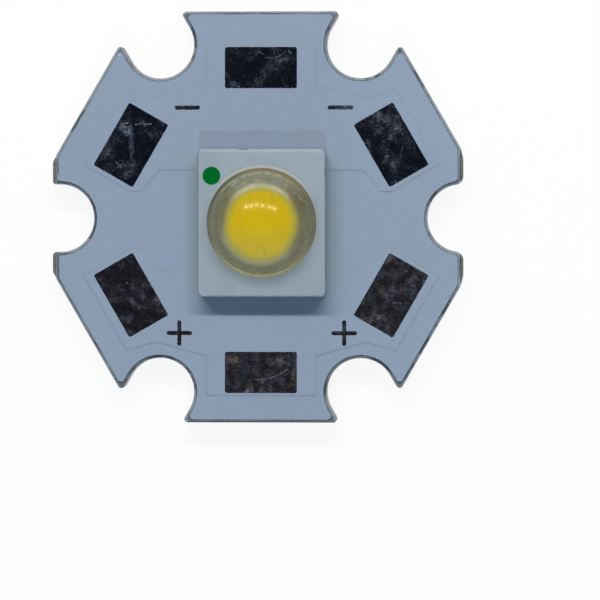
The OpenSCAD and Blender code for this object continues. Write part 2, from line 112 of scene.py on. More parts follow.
# ---------------------------------------------------------------------------------------------
# Shader graphs
# ---------------------------------------------------------------------------------------------


class Graph:
    """Adds nodes to one shader tree and links or writes what is fed to them."""

    def __init__(self, tree: bpy.types.NodeTree) -> None:
        """Keeps the tree that nodes are added to."""
        self.tree = tree

    def add(self, kind: str, **settings: object) -> bpy.types.Node:
        """Adds a node.

        Args:
            kind: the node's type.
            settings: values for the node's own properties.

        Returns:
            The node.
        """
        node = self.tree.nodes.new(kind)
        for name, value in settings.items():
            setattr(node, name, value)
        return node

    def feed(self, socket: Socket, value: Feed) -> None:
        """Links a value to a socket, or writes it there if it is plain.

        Args:
            socket: the input.
            value: another node's output, a number or a row of numbers.
        """
        if isinstance(value, Socket):
            self.tree.links.new(value, socket)
        else:
            socket.default_value = value

    def math(self, how: str, *values: Feed, clamp: bool = False) -> Socket:
        """Adds a Math node.

        Args:
            how: the operation, such as "MULTIPLY".
            values: one to three inputs.
            clamp: whether the result is kept within 0 and 1.

        Returns:
            The result's socket.
        """
        node = self.add("ShaderNodeMath", operation=how, use_clamp=clamp)
        for socket, value in zip(node.inputs, values):
            self.feed(socket, value)
        return node.outputs[0]

    def fold(self, how: str, values: Sequence[Feed]) -> Feed:
        """Joins values one after the other by a Math operation."""
        return reduce(lambda joined, value: self.math(how, joined, value), values)

    def times(self, *values: Feed) -> Feed:
        """Multiplies values."""
        return self.fold("MULTIPLY", values)

    def plus(self, *values: Feed) -> Feed:
        """Adds values."""
        return self.fold("ADD", values)

    def most(self, *values: Feed) -> Feed:
        """Takes the largest value."""
        return self.fold("MAXIMUM", values)

    def least(self, *values: Feed) -> Feed:
        """Takes the smallest value."""
        return self.fold("MINIMUM", values)

    def minus(self, value: Feed, less: Feed) -> Socket:
        """Takes the second value from the first."""
        return self.math("SUBTRACT", value, less)

    def vector(self, how: str, *values: Feed) -> Socket:
        """Adds a Vector Math node.

        Args:
            how: the operation, such as "NORMALIZE".
            values: one or two vectors.

        Returns:
            The new vector, or the number that a length or a dot product gives.
        """
        node = self.add("ShaderNodeVectorMath", operation=how)
        for socket, value in zip(node.inputs, values):
            self.feed(socket, value)
        return node.outputs["Value" if how in ("LENGTH", "DOT_PRODUCT") else "Vector"]

    def shift(self, place: Feed, offset: Sequence[float]) -> Socket:
        """Moves a place by an offset."""
        return self.vector("ADD", place, tuple(offset))

    def stretch(self, place: Feed, factors: Sequence[float]) -> Socket:
        """Multiplies each axis of a place by its factor."""
        return self.vector("MULTIPLY", place, tuple(factors))

    def along(self, toward: Feed, direction: Sequence[float]) -> Socket:
        """How far a direction points along a flat one, as the cosine of their angle."""
        return self.vector("DOT_PRODUCT", toward, (*direction, 0.0))

    def split(self, place: Feed) -> Sequence[Socket]:
        """Splits a place.

        Args:
            place: a vector or a colour.

        Returns:
            Its x, y and z.
        """
        node = self.add("ShaderNodeSeparateXYZ")
        self.feed(node.inputs[0], place)
        return tuple(node.outputs)

    def step(self, value: Feed, low: Feed, high: Feed) -> Socket:
        """Rises smoothly from 0 to 1, or falls where low is the larger.

        Args:
            value: the value that is read.
            low: where the result is 0.
            high: where the result is 1.

        Returns:
            The result's socket.
        """
        node = self.add("ShaderNodeMapRange", interpolation_type="SMOOTHSTEP")
        for name, number in (("Value", value), ("From Min", low), ("From Max", high)):
            self.feed(node.inputs[name], number)
        return node.outputs["Result"]

    def band(self, value: Feed, start: float, full: float, fading: float, end: float) -> Feed:
        """Rises from 0 at start to 1 at full, and falls from 1 at fading to 0 at end."""
        return self.times(self.step(value, start, full), self.step(value, end, fading))

    def spread(self, value: Feed, low: float, high: float) -> Socket:
        """Spreads a value of 0 to 1 over another range.

        Args:
            value: the value that is read.
            low: the result at 0.
            high: the result at 1.

        Returns:
            The result's socket.
        """
        node = self.add("ShaderNodeMapRange")
        self.feed(node.inputs["Value"], value)
        node.inputs["To Min"].default_value = low
        node.inputs["To Max"].default_value = high
        return node.outputs["Result"]

    def mix(self, share: Feed, first: Feed, second: Feed) -> Socket:
        """Mixes two colours.

        Args:
            share: the second colour's share.
            first: the colour at a share of 0.
            second: the colour at a share of 1.

        Returns:
            The mixed colour.
        """
        node = self.add("ShaderNodeMix", data_type="RGBA")
        self.feed(node.inputs[0], share)
        self.feed(node.inputs[6], first)
        self.feed(node.inputs[7], second)
        return node.outputs[2]

    def tint(self, colour: Feed, toward: Colour, mask: Feed, strength: float = 1.0) -> Socket:
        """Mixes a colour towards another one where a mask lies.

        Args:
            colour: the colour outside the mask.
            toward: the other colour, as a screen shows it.
            mask: where it lies, 0 to 1.
            strength: how much of it there is where the mask is 1.

        Returns:
            The mixed colour.
        """
        share = mask if strength == 1.0 else self.times(mask, strength)
        return self.mix(share, colour, ink(*toward))

    def shade(self, colour: Socket, mask: Feed, low: float, high: float) -> Socket:
        """Multiplies a colour by a factor that a mask gives.

        Args:
            colour: the colour.
            mask: a value of 0 to 1.
            low: the factor where the mask is 0.
            high: the factor where the mask is 1.

        Returns:
            The shaded colour.
        """
        node = self.add("ShaderNodeVectorMath", operation="SCALE")
        self.feed(node.inputs[0], colour)
        self.feed(node.inputs["Scale"], self.spread(mask, low, high))
        return node.outputs[0]

    def noise(
        self, place: Feed, scale: Feed, detail: float = 2.0, rough: float = 0.5, twist: float = 0.0
    ) -> Socket:
        """Adds a Noise texture.

        Args:
            place: where the noise is read, in millimetres.
            scale: how many features there are in a millimetre.
            detail: how many finer layers are added.
            rough: how strong the finer layers are.
            twist: how far the pattern is distorted.

        Returns:
            A value that mostly lies between 0.3 and 0.7.
        """
        node = self.add("ShaderNodeTexNoise")
        self.feed(node.inputs["Vector"], place)
        self.feed(node.inputs["Scale"], scale)
        node.inputs["Detail"].default_value = detail
        node.inputs["Roughness"].default_value = rough
        node.inputs["Distortion"].default_value = twist
        return node.outputs[0]

    def group(self, tree: bpy.types.NodeTree, **values: Feed) -> bpy.types.Node:
        """Places a node group.

        Args:
            tree: the group.
            values: what its inputs are fed, by their names.

        Returns:
            The group's node.
        """
        node = self.add("ShaderNodeGroup", node_tree=tree)
        for name, value in values.items():
            self.feed(node.inputs[name], value)
        return node

    def coordinates(self, which: str) -> Socket:
        """A texture coordinate, such as "Object" or "Normal"."""
        return self.add("ShaderNodeTexCoord").outputs[which]

    def place(self) -> Socket:
        """The point on the piece, in millimetres of the model's frame."""
        return self.stretch(self.coordinates("Object"), (1 / MM, 1 / MM, 1 / MM))

    def seen(self) -> Feed:
        """1 for what the camera, a mirror or glass sees, and 0 for what only lights."""
        ray = self.add("ShaderNodeLightPath").outputs
        return self.most(ray["Is Camera Ray"], ray["Is Glossy Ray"], ray["Is Transmission Ray"])


class Kind(Enum):
    """The kinds of socket that a pattern's interface has."""

    NUMBER = "NodeSocketFloat"
    POINT = "NodeSocketVector"


class Pattern:
    """A shader node group while it is being built: its graph, inputs and outputs."""

    def __init__(self, name: str, inputs: dict[str, Kind], outputs: Sequence[str]) -> None:
        """Makes an empty group.

        Args:
            name: the group's name.
            inputs: the name and kind of each input.
            outputs: the name of each output, which is a number.
        """
        self.tree = bpy.data.node_groups.new(name, "ShaderNodeTree")
        for label, kind in inputs.items():
            self.tree.interface.new_socket(name=label, in_out="INPUT", socket_type=kind.value)
        for label in outputs:
            self.tree.interface.new_socket(
                name=label, in_out="OUTPUT", socket_type=Kind.NUMBER.value
            )
        self.graph = Graph(self.tree)
        self.inputs = self.graph.add("NodeGroupInput").outputs
        self.outputs = self.graph.add("NodeGroupOutput").inputs

    def give(self, **values: Feed) -> bpy.types.NodeTree:
        """Feeds the outputs.

        Args:
            values: what each output gives, by its name.

        Returns:
            The finished group.
        """
        for name, value in values.items():
            self.graph.feed(self.outputs[name], value)
        return self.tree


class Patterns:
    """The shader node groups that several finishes share, each built once."""

    def __init__(self) -> None:
        """Builds every group."""
        self.mottle = self._mottle()
        self.specks = self._specks()
        self.stroke = self._stroke()
        self.relief = self._relief()
        self.veil = self._veil()

    def clouds(self, graph: Graph, place: Socket, size: float, contrast: float) -> Socket:
        """Places the group of soft clouds.

        Args:
            graph: the material's graph.
            place: the point on the piece.
            size: how wide a cloud is, in millimetres.
            contrast: how far pale and dark clouds lie apart.

        Returns:
            A value of 0 to 1, 0.5 on average.
        """
        return graph.group(self.mottle, Place=place, Size=size, Contrast=contrast).outputs[0]

    def dots(
        self, graph: Graph, place: Socket, spacing: float, radius: float, share: float
    ) -> Socket:
        """Places the group of small dots.

        Args:
            graph: the material's graph.
            place: the point on the piece.
            spacing: the width of a cell in which a dot may lie, in millimetres.
            radius: the largest dot's radius.
            share: the share of cells that have a dot.

        Returns:
            The dots' mask, 0 to 1.
        """
        node = graph.group(self.specks, Place=place, Spacing=spacing, Radius=radius, Share=share)
        return node.outputs[0]

    @staticmethod
    def _mottle() -> bpy.types.NodeTree:
        """Soft clouds: noise of a given size, spread to 0 to 1 with a given contrast.

        Returns:
            A group with inputs Place, Size and Contrast, and output Value, 0.5 on average.
        """
        kinds = {"Place": Kind.POINT, "Size": Kind.NUMBER, "Contrast": Kind.NUMBER}
        made = Pattern("mottle", kinds, ["Value"])
        graph = made.graph
        scale = graph.math("DIVIDE", 1.0, made.inputs["Size"])
        clouds = graph.noise(made.inputs["Place"], scale, detail=4.0, rough=0.55)
        centred = graph.minus(clouds, 0.5)
        value = graph.math("MULTIPLY_ADD", centred, made.inputs["Contrast"], 0.5, clamp=True)
        return made.give(Value=value)

    @staticmethod
    def _specks() -> bpy.types.NodeTree:
        """Small separate dots, one at most in each cell of a scattered grid.

        A dot is drawn where the distance to its cell's point is under its radius, which
        shrinks with the cell's own random number, and only that share of cells has one.

        Returns:
            A group with inputs Place, Spacing, Radius and Share, and output Mask.
        """
        kinds = {"Place": Kind.POINT, **dict.fromkeys(("Spacing", "Radius", "Share"), Kind.NUMBER)}
        made = Pattern("specks", kinds, ["Mask"])
        graph = made.graph
        spacing = made.inputs["Spacing"]
        cells = graph.add("ShaderNodeTexVoronoi")
        graph.feed(cells.inputs["Vector"], made.inputs["Place"])
        graph.feed(cells.inputs["Scale"], graph.math("DIVIDE", 1.0, spacing))
        chance, size, _ = graph.split(cells.outputs["Color"])
        distance = graph.times(cells.outputs["Distance"], spacing)
        radius = graph.times(made.inputs["Radius"], graph.spread(size, 0.35, 1.0))
        dot = graph.step(distance, radius, graph.times(radius, 0.5))
        kept = graph.math("LESS_THAN", chance, made.inputs["Share"])
        return made.give(Mask=graph.times(dot, kept))

    @staticmethod
    def _stroke() -> bpy.types.NodeTree:
        """A bowed stroke from Start to End, such as a scratch or a smear.

        The point's share of the way, held within 0 and 1, gives the nearest place on the
        stroke. The stroke leaves its straight line by Bend times 4 t (1 - t), and the mask
        falls from 1 on it to 0 at Width beside it. Fray lets noise break it up.

        Returns:
            A group with inputs Place, Start, End, Bend, Width and Fray, and output Mask.
        """
        kinds = {
            **dict.fromkeys(("Place", "Start", "End"), Kind.POINT),
            **dict.fromkeys(("Bend", "Width", "Fray"), Kind.NUMBER),
        }
        made = Pattern("stroke", kinds, ["Mask"])
        graph = made.graph
        place, start, end, bend, width, fray = (made.inputs[name] for name in kinds)
        flat = graph.stretch(place, (1, 1, 0))
        run = graph.vector("SUBTRACT", end, start)
        here = graph.vector("SUBTRACT", flat, start)
        length = graph.vector("LENGTH", run)
        dot = graph.vector("DOT_PRODUCT", here, run)
        reach = graph.math("DIVIDE", dot, graph.math("POWER", length, 2.0))
        share = graph.math("ADD", reach, 0.0, clamp=True)
        _, _, turned_area = graph.split(graph.vector("CROSS_PRODUCT", run, here))
        aside = graph.math("DIVIDE", turned_area, length)
        bow = graph.times(share, graph.minus(1.0, share), 4.0)
        off = graph.minus(aside, graph.times(bow, bend))
        past = graph.times(graph.minus(reach, share), length)
        squares = graph.plus(graph.math("POWER", off, 2.0), graph.math("POWER", past, 2.0))
        line = graph.step(graph.math("SQRT", squares), width, graph.times(width, 0.2))
        gaps = graph.step(graph.noise(place, 7.0, detail=4.0, rough=0.7), 0.38, 0.62)
        kept = graph.plus(graph.minus(1.0, fray), graph.times(gaps, fray))
        return made.give(Mask=graph.math("MULTIPLY", line, kept, clamp=True))

    @staticmethod
    def _relief() -> bpy.types.NodeTree:
        """Where copper lies under the mask, as the distance to the copper's outline.

        With the art's x and y made positive, both outer areas fold onto one quarter. The
        distance to a straight side is x nx + y ny - d, for the side's outward direction and its
        distance from the middle. A convex piece takes the largest distance to its sides, and the
        copper, which is three such pieces, the smallest of theirs.

        Returns:
            A group with input Place and outputs Step, 1 over copper, and Line, 1 on its edge.
        """
        made = Pattern("copper relief", {"Place": Kind.POINT}, ["Step", "Line"])
        graph = made.graph
        moved = graph.shift(made.inputs["Place"], (-ART[0], -ART[1], 0))
        wobble = graph.math("MULTIPLY_ADD", graph.noise(moved, 2.2, detail=3.0), 0.08, -0.04)
        x, y, _ = graph.split(graph.vector("ABSOLUTE", moved))

        def outside(start: tuple[float, float], end: tuple[float, float]) -> Socket:
            """Distance to the left of a line that has the copper on its right.

            Args:
                start, end: two points of the line.

            Returns:
                The distance, negative over the copper.
            """
            run = math.hypot(end[0] - start[0], end[1] - start[1])
            nx, ny = (start[1] - end[1]) / run, (end[0] - start[0]) / run
            level = graph.math("MULTIPLY_ADD", x, nx, -(start[0] * nx + start[1] * ny))
            return graph.math("MULTIPLY_ADD", y, ny, level)

        def piece(*corners: tuple[float, float]) -> Feed:
            """Distance to an open chain of sides, whose corners are given clockwise."""
            return graph.most(*map(outside, corners, corners[1:]))

        block = piece((0.0, 8.52), (2.65, 8.52), (2.65, 6.0), (0.0, 6.0))
        middle = piece((0.0, 7.34), (5.08, 5.92), (5.08, 2.42), (0.0, 2.42))
        wing = piece(
            (2.09, 5.11), (6.55, 6.32), (8.64, 2.7), (6.36, 1.385), (5.81, 1.385), (2.06, 5.9)
        )
        distance = graph.plus(graph.least(block, middle, wing), wobble)
        line = graph.step(graph.math("ABSOLUTE", distance), 0.12, 0.0)
        return made.give(Step=graph.step(distance, 0.07, -0.07), Line=line)

    @staticmethod
    def _veil() -> bpy.types.NodeTree:
        """How the phosphor fades out and milky silicone runs out round it.

        The place is taken from the emitter's middle, and its direction is the place over its
        length. Gold falls with the radius. Milk rises to a crest just outside the phosphor and
        falls again. The milky ring is real, and its crest is painted light: strong towards the
        minus signs, where the lamps light it, and weaker to the lower left, where the dome throws
        light.

        Returns:
            A group with input Place and outputs Radius, Gold, Milk, High, which is 1 towards
            the minus signs, Below, which is 1 towards the plus signs, Streak, short painted
            highlights that run round, and Dusk, which is 1 in dark wisps and to the upper right.
        """
        outputs = ["Radius", "Gold", "Milk", "High", "Below", "Streak", "Dusk"]
        made = Pattern("veil", {"Place": Kind.POINT}, outputs)
        graph = made.graph
        flat = graph.stretch(graph.shift(made.inputs["Place"], TO_EMITTER), (1, 1, 0))
        radius = graph.vector("LENGTH", flat)
        toward = graph.vector("NORMALIZE", flat)
        _, up, _ = graph.split(toward)
        high = graph.step(up, 0.2, 1.0)
        crown = graph.step(up, 0.45, 1.0)
        low = graph.step(graph.along(toward, LOWER_LEFT), 0.15, 0.75)
        upper_right = graph.step(graph.along(toward, (0.77, 0.64)), 0.82, 1.0)
        level = graph.add("ShaderNodeCombineXYZ")
        graph.feed(level.inputs["Z"], graph.times(radius, 5.0))
        round_about = graph.vector("ADD", graph.stretch(toward, (4, 4, 0)), level.outputs[0])
        wisps = graph.noise(round_about, 1.6, detail=4.0, rough=0.6)
        wavy = graph.math("MULTIPLY_ADD", graph.noise(flat, 1.6, detail=3.0), 0.12, -0.06)
        reach = graph.plus(radius, wavy)
        leant = graph.math("MULTIPLY_ADD", high, -0.04, reach)
        leant = graph.math("MULTIPLY_ADD", low, -0.09, leant)
        side = graph.step(graph.math("ABSOLUTE", graph.split(flat)[0]), 0.05, 0.55)
        uneven = graph.spread(graph.step(wisps, 0.35, 0.65), 0.8, 1.1)
        lively = graph.times(graph.spread(side, 0.62, 0.84), uneven)
        # The milky ring's painted light: its crest towards the minus signs, where the lamps light
        # it, and a fainter one to the lower left, where the dome throws light.
        top = graph.times(graph.band(reach, 1.18, 1.38, 1.36, 1.57), crown, lively)
        foot = graph.times(graph.band(reach, 1.3, 1.48, 1.46, 1.74), low, 0.2)
        tail = graph.times(crown, graph.step(reach, 1.25, 1.5), 0.2)
        # Painted highlights: short pale streaks, strongest towards the minus signs.
        lit = graph.times(graph.step(wisps, 0.52, 0.68), graph.spread(high, 0.12, 0.66))
        dark = graph.times(graph.step(wisps, 0.48, 0.36), 0.7)
        return made.give(
            Radius=radius,
            Gold=graph.step(leant, 1.455, 1.015),
            Milk=graph.most(top, foot, tail),
            High=high,
            Below=graph.step(up, -0.1, -0.95),
            Streak=graph.times(lit, graph.step(radius, 1.45, 1.7)),
            Dusk=graph.most(dark, upper_right),
        )


class Surface:
    """A material with one Principled shader and the graph that feeds it."""

    def __init__(self, name: str, **constants: Feed) -> None:
        """Makes the material.

        Args:
            name: the material's name.
            constants: values for the shader's own sockets, with underscores for spaces.
        """
        self.material = bpy.data.materials.new(name)
        self.material.use_nodes = True
        self.graph = Graph(self.material.node_tree)
        self.shader = self.material.node_tree.nodes["Principled BSDF"]
        self.output = self.material.node_tree.nodes["Material Output"]
        for label, value in constants.items():
            self.set(label.replace("_", " "), value)

    def set(self, label: str, value: Feed) -> None:
        """Feeds one of the shader's sockets."""
        self.graph.feed(self.shader.inputs[label], value)

    def bump(self, height: Feed, depth_um: float, level: float = 0.0) -> None:
        """Feeds the shader's normal.

        Args:
            height: the surface's height, 0 to 1.
            depth_um: the micrometres that a height of 1 stands for.
            level: how far the normal is turned up, for a coat whose shape hardly shows, such as
                a cloudy gel that light comes out of.
        """
        graph = self.graph
        node = graph.add("ShaderNodeBump")
        node.inputs["Strength"].default_value = 1.0
        node.inputs["Distance"].default_value = depth_um * 1e-6
        if level:
            normal = graph.stretch(graph.coordinates("Normal"), (1 - level,) * 3)
            raised = graph.shift(normal, (0, 0, level))
            graph.feed(node.inputs["Normal"], graph.vector("NORMALIZE", raised))
        graph.feed(node.inputs["Height"], height)
        self.set("Normal", node.outputs[0])

    def blend(self, share: Feed, other: Socket) -> None:
        """Mixes the shader with another one.

        Args:
            share: the other shader's share.
            other: the other shader's output.
        """
        either = self.graph.add("ShaderNodeMixShader")
        for socket, value in zip(either.inputs, (share, self.shader.outputs[0], other)):
            self.graph.feed(socket, value)
        self.graph.feed(self.output.inputs["Surface"], either.outputs[0])


class Finish(Protocol):
    """What every finish can do."""

    def material(self, patterns: Patterns) -> bpy.types.Material:
        """Builds the material from its own values and the shared node groups."""
        ...


# ---------------------------------------------------------------------------------------------
# Finishes
# ---------------------------------------------------------------------------------------------


@dataclass(frozen=True)
class Mark:
    """One scratch, smear or chip: where it runs, how it bends and how strongly it shows."""

    start: tuple[float, float]
    end: tuple[float, float]
    bend: float
    width: float
    fray: float
    strength: float

    def draw(self, graph: Graph, patterns: Patterns, place: Socket) -> Socket:
        """Draws the mark.

        Args:
            graph: the material's graph.
            patterns: the shared node groups.
            place: the point on the piece.

        Returns:
            The mark's mask, 0 to 1.
        """
        return graph.group(
            patterns.stroke,
            Place=place,
            Start=(*self.start, 0),
            End=(*self.end, 0),
            Bend=self.bend,
            Width=self.width,
            Fray=self.fray,
        ).outputs[0]


@dataclass(frozen=True)
class MaskInk:
    """The board's pale blue-grey solder mask, with the copper's edges showing through."""

    colour: Colour = (139, 157, 178)
    shadow_tint: Colour = (128, 143, 158)
    line_tint: Colour = (133, 148, 162)
    dirt: Colour = (70, 78, 90)
    # Painted shade of the scored groove: its colour, and where the dark strip along the left edge
    # starts.
    groove_shade: Colour = (54, 62, 74)
    groove_shade_x: float = -9.62
    # Pale marks: painted glints on the two tips and on the left edge, and a real nick in the middle
    # of the top edge.
    chip: Colour = (206, 214, 220)
    # Painted bounce light from the plate: a less blue tint on the mask beside it.
    beside: Colour = (139, 156, 166)
    chips_and_glints: tuple[Mark, ...] = (
        Mark((-6.74, 7.98), (-6.7, 7.9), 0.0, 0.07, 0.2, 0.8),
        Mark((6.66, 7.97), (6.7, 7.88), 0.0, 0.07, 0.2, 0.9),
        Mark((-9.74, 2.1), (-9.72, 1.85), 0.0, 0.08, 0.3, 0.8),
        Mark((0.0, 9.9), (0.2, 9.87), 0.0, 0.05, 0.3, 0.7),
    )

    def material(self, patterns: Patterns) -> bpy.types.Material:
        """Builds clouds, copper relief, fine ink grain, dark specks, pale chips and painted glints,
        painted shade along the scored left edge, and painted bounce light and a painted contact
        shadow round the plate.

        Args:
            patterns: the shared node groups.

        Returns:
            The material.
        """
        surface = Surface("mask_ink", Specular_IOR_Level=0.3)
        graph = surface.graph
        place = graph.place()
        x, y, _ = graph.split(place)
        wide = patterns.clouds(graph, place, 5.0, 2.2)
        fine = patterns.clouds(graph, place, 0.35, 1.6)
        copper = graph.group(patterns.relief, Place=place).outputs
        colour = graph.tint(ink(*self.colour), self.shadow_tint, wide, 0.22)
        colour = graph.tint(colour, self.line_tint, copper["Line"], 0.45)
        colour = graph.shade(colour, fine, 0.97, 1.03)
        specks = patterns.dots(graph, place, 1.1, 0.05, 0.12)
        colour = graph.tint(colour, self.dirt, specks, 0.45)
        ragged = graph.noise(graph.stretch(place, (1.0, 0.8, 0)), 1.0, detail=3.0, rough=0.6)
        # Painted shade of the scored groove: a ragged dark strip along the left edge.
        past = graph.minus(graph.math("MULTIPLY_ADD", ragged, 0.22, -0.11), x)
        torn = graph.step(past, -self.groove_shade_x, 0.1 - self.groove_shade_x)
        colour = graph.tint(colour, self.groove_shade, torn, 0.85)
        # Pale marks: painted glints at the tips and the left edge, and the nick at the top.
        for chip in self.chips_and_glints:
            colour = graph.tint(colour, self.chip, chip.draw(graph, patterns, place), chip.strength)
        colour = graph.shade(colour, graph.step(x, 3.0, 6.0), 1.0, 1.03)
        off_x, off_y = (
            graph.minus(graph.math("ABSOLUTE", graph.minus(at, middle)), size / 2)
            for at, middle, size in ((x, EMITTER[0], PLATE_W), (y, EMITTER[1], PLATE_L))
        )
        # Painted bounce light from the plate: the mask is less blue within about a millimetre of
        # its long sides.
        bounce_light_near_plate = graph.step(graph.most(off_x, graph.plus(off_y, 1.0)), 1.15, 0.1)
        colour = graph.tint(colour, self.beside, bounce_light_near_plate)
        # Painted contact shadow: 7 % darker in a thin band round the plate.
        painted_contact_shadow = graph.step(graph.most(off_x, off_y), 0.2, 0.04)
        surface.set("Base Color", graph.shade(colour, painted_contact_shadow, 1.0, 0.93))
        surface.set("Roughness", graph.spread(fine, 0.42, 0.55))
        grain = graph.noise(place, 9.0, detail=3.0, rough=0.6)
        height = graph.plus(graph.times(copper["Step"], 0.3), graph.times(grain, 0.12))
        surface.bump(height, 12.0, level=0.8)
        return surface.material


@dataclass(frozen=True)
class Insulation:
    """The grey insulating layer, which shows on the rolled rim and in the scored edges."""

    pale: Colour = (132, 146, 155)
    dark: Colour = (46, 56, 66)
    glint: Colour = (205, 212, 216)
    inner_z: float = 1.565

    def material(self, patterns: Patterns) -> bpy.types.Material:
        """Builds broken dark patches high on the rim, other dark patches and small glints.

        Args:
            patterns: the shared node groups.

        Returns:
            The material.
        """
        surface = Surface("insulation", Specular_IOR_Level=0.4)
        graph = surface.graph
        place = graph.place()
        _, _, z = graph.split(place)
        patch_clouds = patterns.clouds(graph, place, 1.1, 4.5)
        fine = patterns.clouds(graph, place, 0.09, 2.4)
        inner = graph.step(z, self.inner_z, self.inner_z + 0.03)
        broken = graph.times(inner, graph.spread(patch_clouds, 0.35, 1.0))
        dark = graph.most(broken, graph.times(graph.step(patch_clouds, 0.55, 0.85), 0.85))
        colour = graph.shade(graph.tint(ink(*self.pale), self.dark, dark), fine, 0.8, 1.2)
        glints = patterns.dots(graph, place, 0.4, 0.05, 0.12)
        surface.set("Base Color", graph.tint(colour, self.glint, glints))
        surface.set("Roughness", graph.spread(fine, 0.45, 0.7))
        surface.bump(fine, 12.0)
        return surface.material


@dataclass(frozen=True)
class PunchedAluminium:
    """The bare core: rolled below, sheared and torn on its walls, with painted shade in its score
    lines.
    """

    bright: Colour = (172, 176, 180)
    dull: Colour = (118, 124, 129)
    # Colour of the painted shade in the score lines.
    groove: Colour = (66, 74, 84)
    torn: Colour = (150, 158, 163)
    side_start: float = 9.7
    burnished_z: float = 0.6

    def material(self, patterns: Patterns) -> bpy.types.Material:
        """Builds upright shear streaks on the walls and long rolling lines below.

        Args:
            patterns: the shared node groups.

        Returns:
            The material.
        """
        surface = Surface("core_aluminium", Metallic=1.0, Specular_IOR_Level=0.5)
        graph = surface.graph
        place = graph.place()
        x, _, z = graph.split(place)
        _, _, facing = graph.split(graph.coordinates("Normal"))
        below = graph.step(facing, -0.6, -0.9)
        upright = graph.noise(graph.stretch(place, (9, 9, 0.7)), 1.0, detail=4.0, rough=0.7)
        rolled = graph.noise(graph.stretch(place, (0.25, 12, 1)), 1.0, detail=5.0, rough=0.7)
        tear = patterns.clouds(graph, place, 0.22, 2.6)
        wall = graph.plus(graph.times(upright, 0.82), graph.times(tear, 0.18))
        pattern = graph.mix(below, wall, rolled)
        colour = graph.tint(ink(*self.dull), self.bright, graph.step(pattern, 0.22, 0.75))
        outside = graph.step(graph.math("ABSOLUTE", x), self.side_start, self.side_start + 0.02)
        steep = graph.times(outside, graph.step(facing, 0.05, 0.15), graph.step(facing, 0.8, 0.6))
        # Painted shade: dark streaks along the score lines on the scored side walls, with pale
        # specks.
        streaks = graph.noise(graph.stretch(place, (14, 1.6, 1)), 1.0, detail=4.0, rough=0.6)
        snapped = graph.tint(ink(*self.torn), self.groove, graph.step(streaks, 0.5, 0.62))
        snapped = graph.tint(snapped, self.bright, patterns.dots(graph, place, 0.3, 0.07, 0.3))
        surface.set("Base Color", graph.mix(steep, colour, snapped))
        burnish = graph.step(z, self.burnished_z + 0.35, self.burnished_z)
        rough = graph.mix(below, graph.minus(1.0, burnish), rolled)
        surface.set("Roughness", graph.spread(rough, 0.3, 0.5))
        surface.bump(pattern, 14.0)
        return surface.material


# Film on the lower pads that carry more of it than the rest, and the marks on each pad
FILMS: dict[str, float] = {"pad_plus_middle": 0.27, "pad_plus_right": 0.25}
MARKS: dict[str, tuple[Mark, ...]] = {
    "pad_minus_left": (
        Mark((-6.22, 5.34), (-6.2, 4.7), 0.0, 0.12, 1.0, 0.3),
        Mark((-6.17, 4.35), (-6.1, 3.15), 0.0, 0.2, 0.6, 0.46),
        Mark((-6.12, 4.42), (-6.15, 2.86), 0.02, 0.1, 0.6, 0.44),
        Mark((-5.93, 4.49), (-5.15, 4.51), 0.02, 0.06, 0.8, 0.75),
        Mark((-6.59, 4.53), (-6.32, 4.56), 0.0, 0.08, 0.6, 0.7),
        Mark((-5.44, 4.22), (-5.15, 3.93), 0.0, 0.05, 0.9, 0.5),
        Mark((-6.88, 2.67), (-6.56, 2.37), 0.0, 0.035, 0.4, 0.7),
        Mark((-6.54, 2.57), (-6.8, 2.4), 0.0, 0.035, 0.4, 0.7),
        Mark((-6.44, 2.47), (-5.93, 2.6), -0.03, 0.03, 0.6, 0.55),
    ),
    "pad_minus_middle": (
        Mark((0.06, 8.02), (0.33, 7.9), 0.0, 0.035, 0.5, 0.55),
        Mark((0.38, 7.74), (0.62, 7.73), 0.0, 0.04, 0.5, 0.65),
        Mark((0.68, 7.68), (1.37, 8.03), -0.06, 0.04, 0.7, 0.65),
        Mark((1.5, 8.09), (1.67, 7.91), 0.0, 0.04, 0.5, 0.65),
        Mark((-0.07, 6.45), (0.86, 7.57), 0.0, 0.45, 0.9, 0.34),
    ),
    "pad_minus_right": (
        Mark((7.08, 3.58), (6.96, 2.89), 0.0, 0.09, 0.5, 0.36),
        Mark((5.6, 4.95), (6.9, 4.6), 0.0, 0.45, 0.9, 0.26),
        Mark((6.8, 4.5), (7.5, 3.2), 0.1, 0.45, 0.9, 0.3),
        Mark((6.9, 2.9), (6.6, 2.0), 0.0, 0.32, 0.9, 0.24),
    ),
    "pad_plus_left": (Mark((-6.35, -3.2), (-6.33, -3.22), 0.0, 0.05, 0.2, 0.7),),
    "pad_plus_middle": (
        Mark((-0.13, -7.9), (1.49, -7.38), -0.15, 0.03, 0.35, 0.7),
        Mark((0.6, -7.0), (1.4, -7.5), 0.0, 0.4, 0.6, 0.14),
    ),
    "pad_plus_right": (
        Mark((6.6, -4.2), (6.95, -4.2), 0.05, 0.05, 0.7, 0.7),
        Mark((7.22, -2.6), (7.25, -2.63), 0.0, 0.05, 0.2, 0.7),
    ),
}


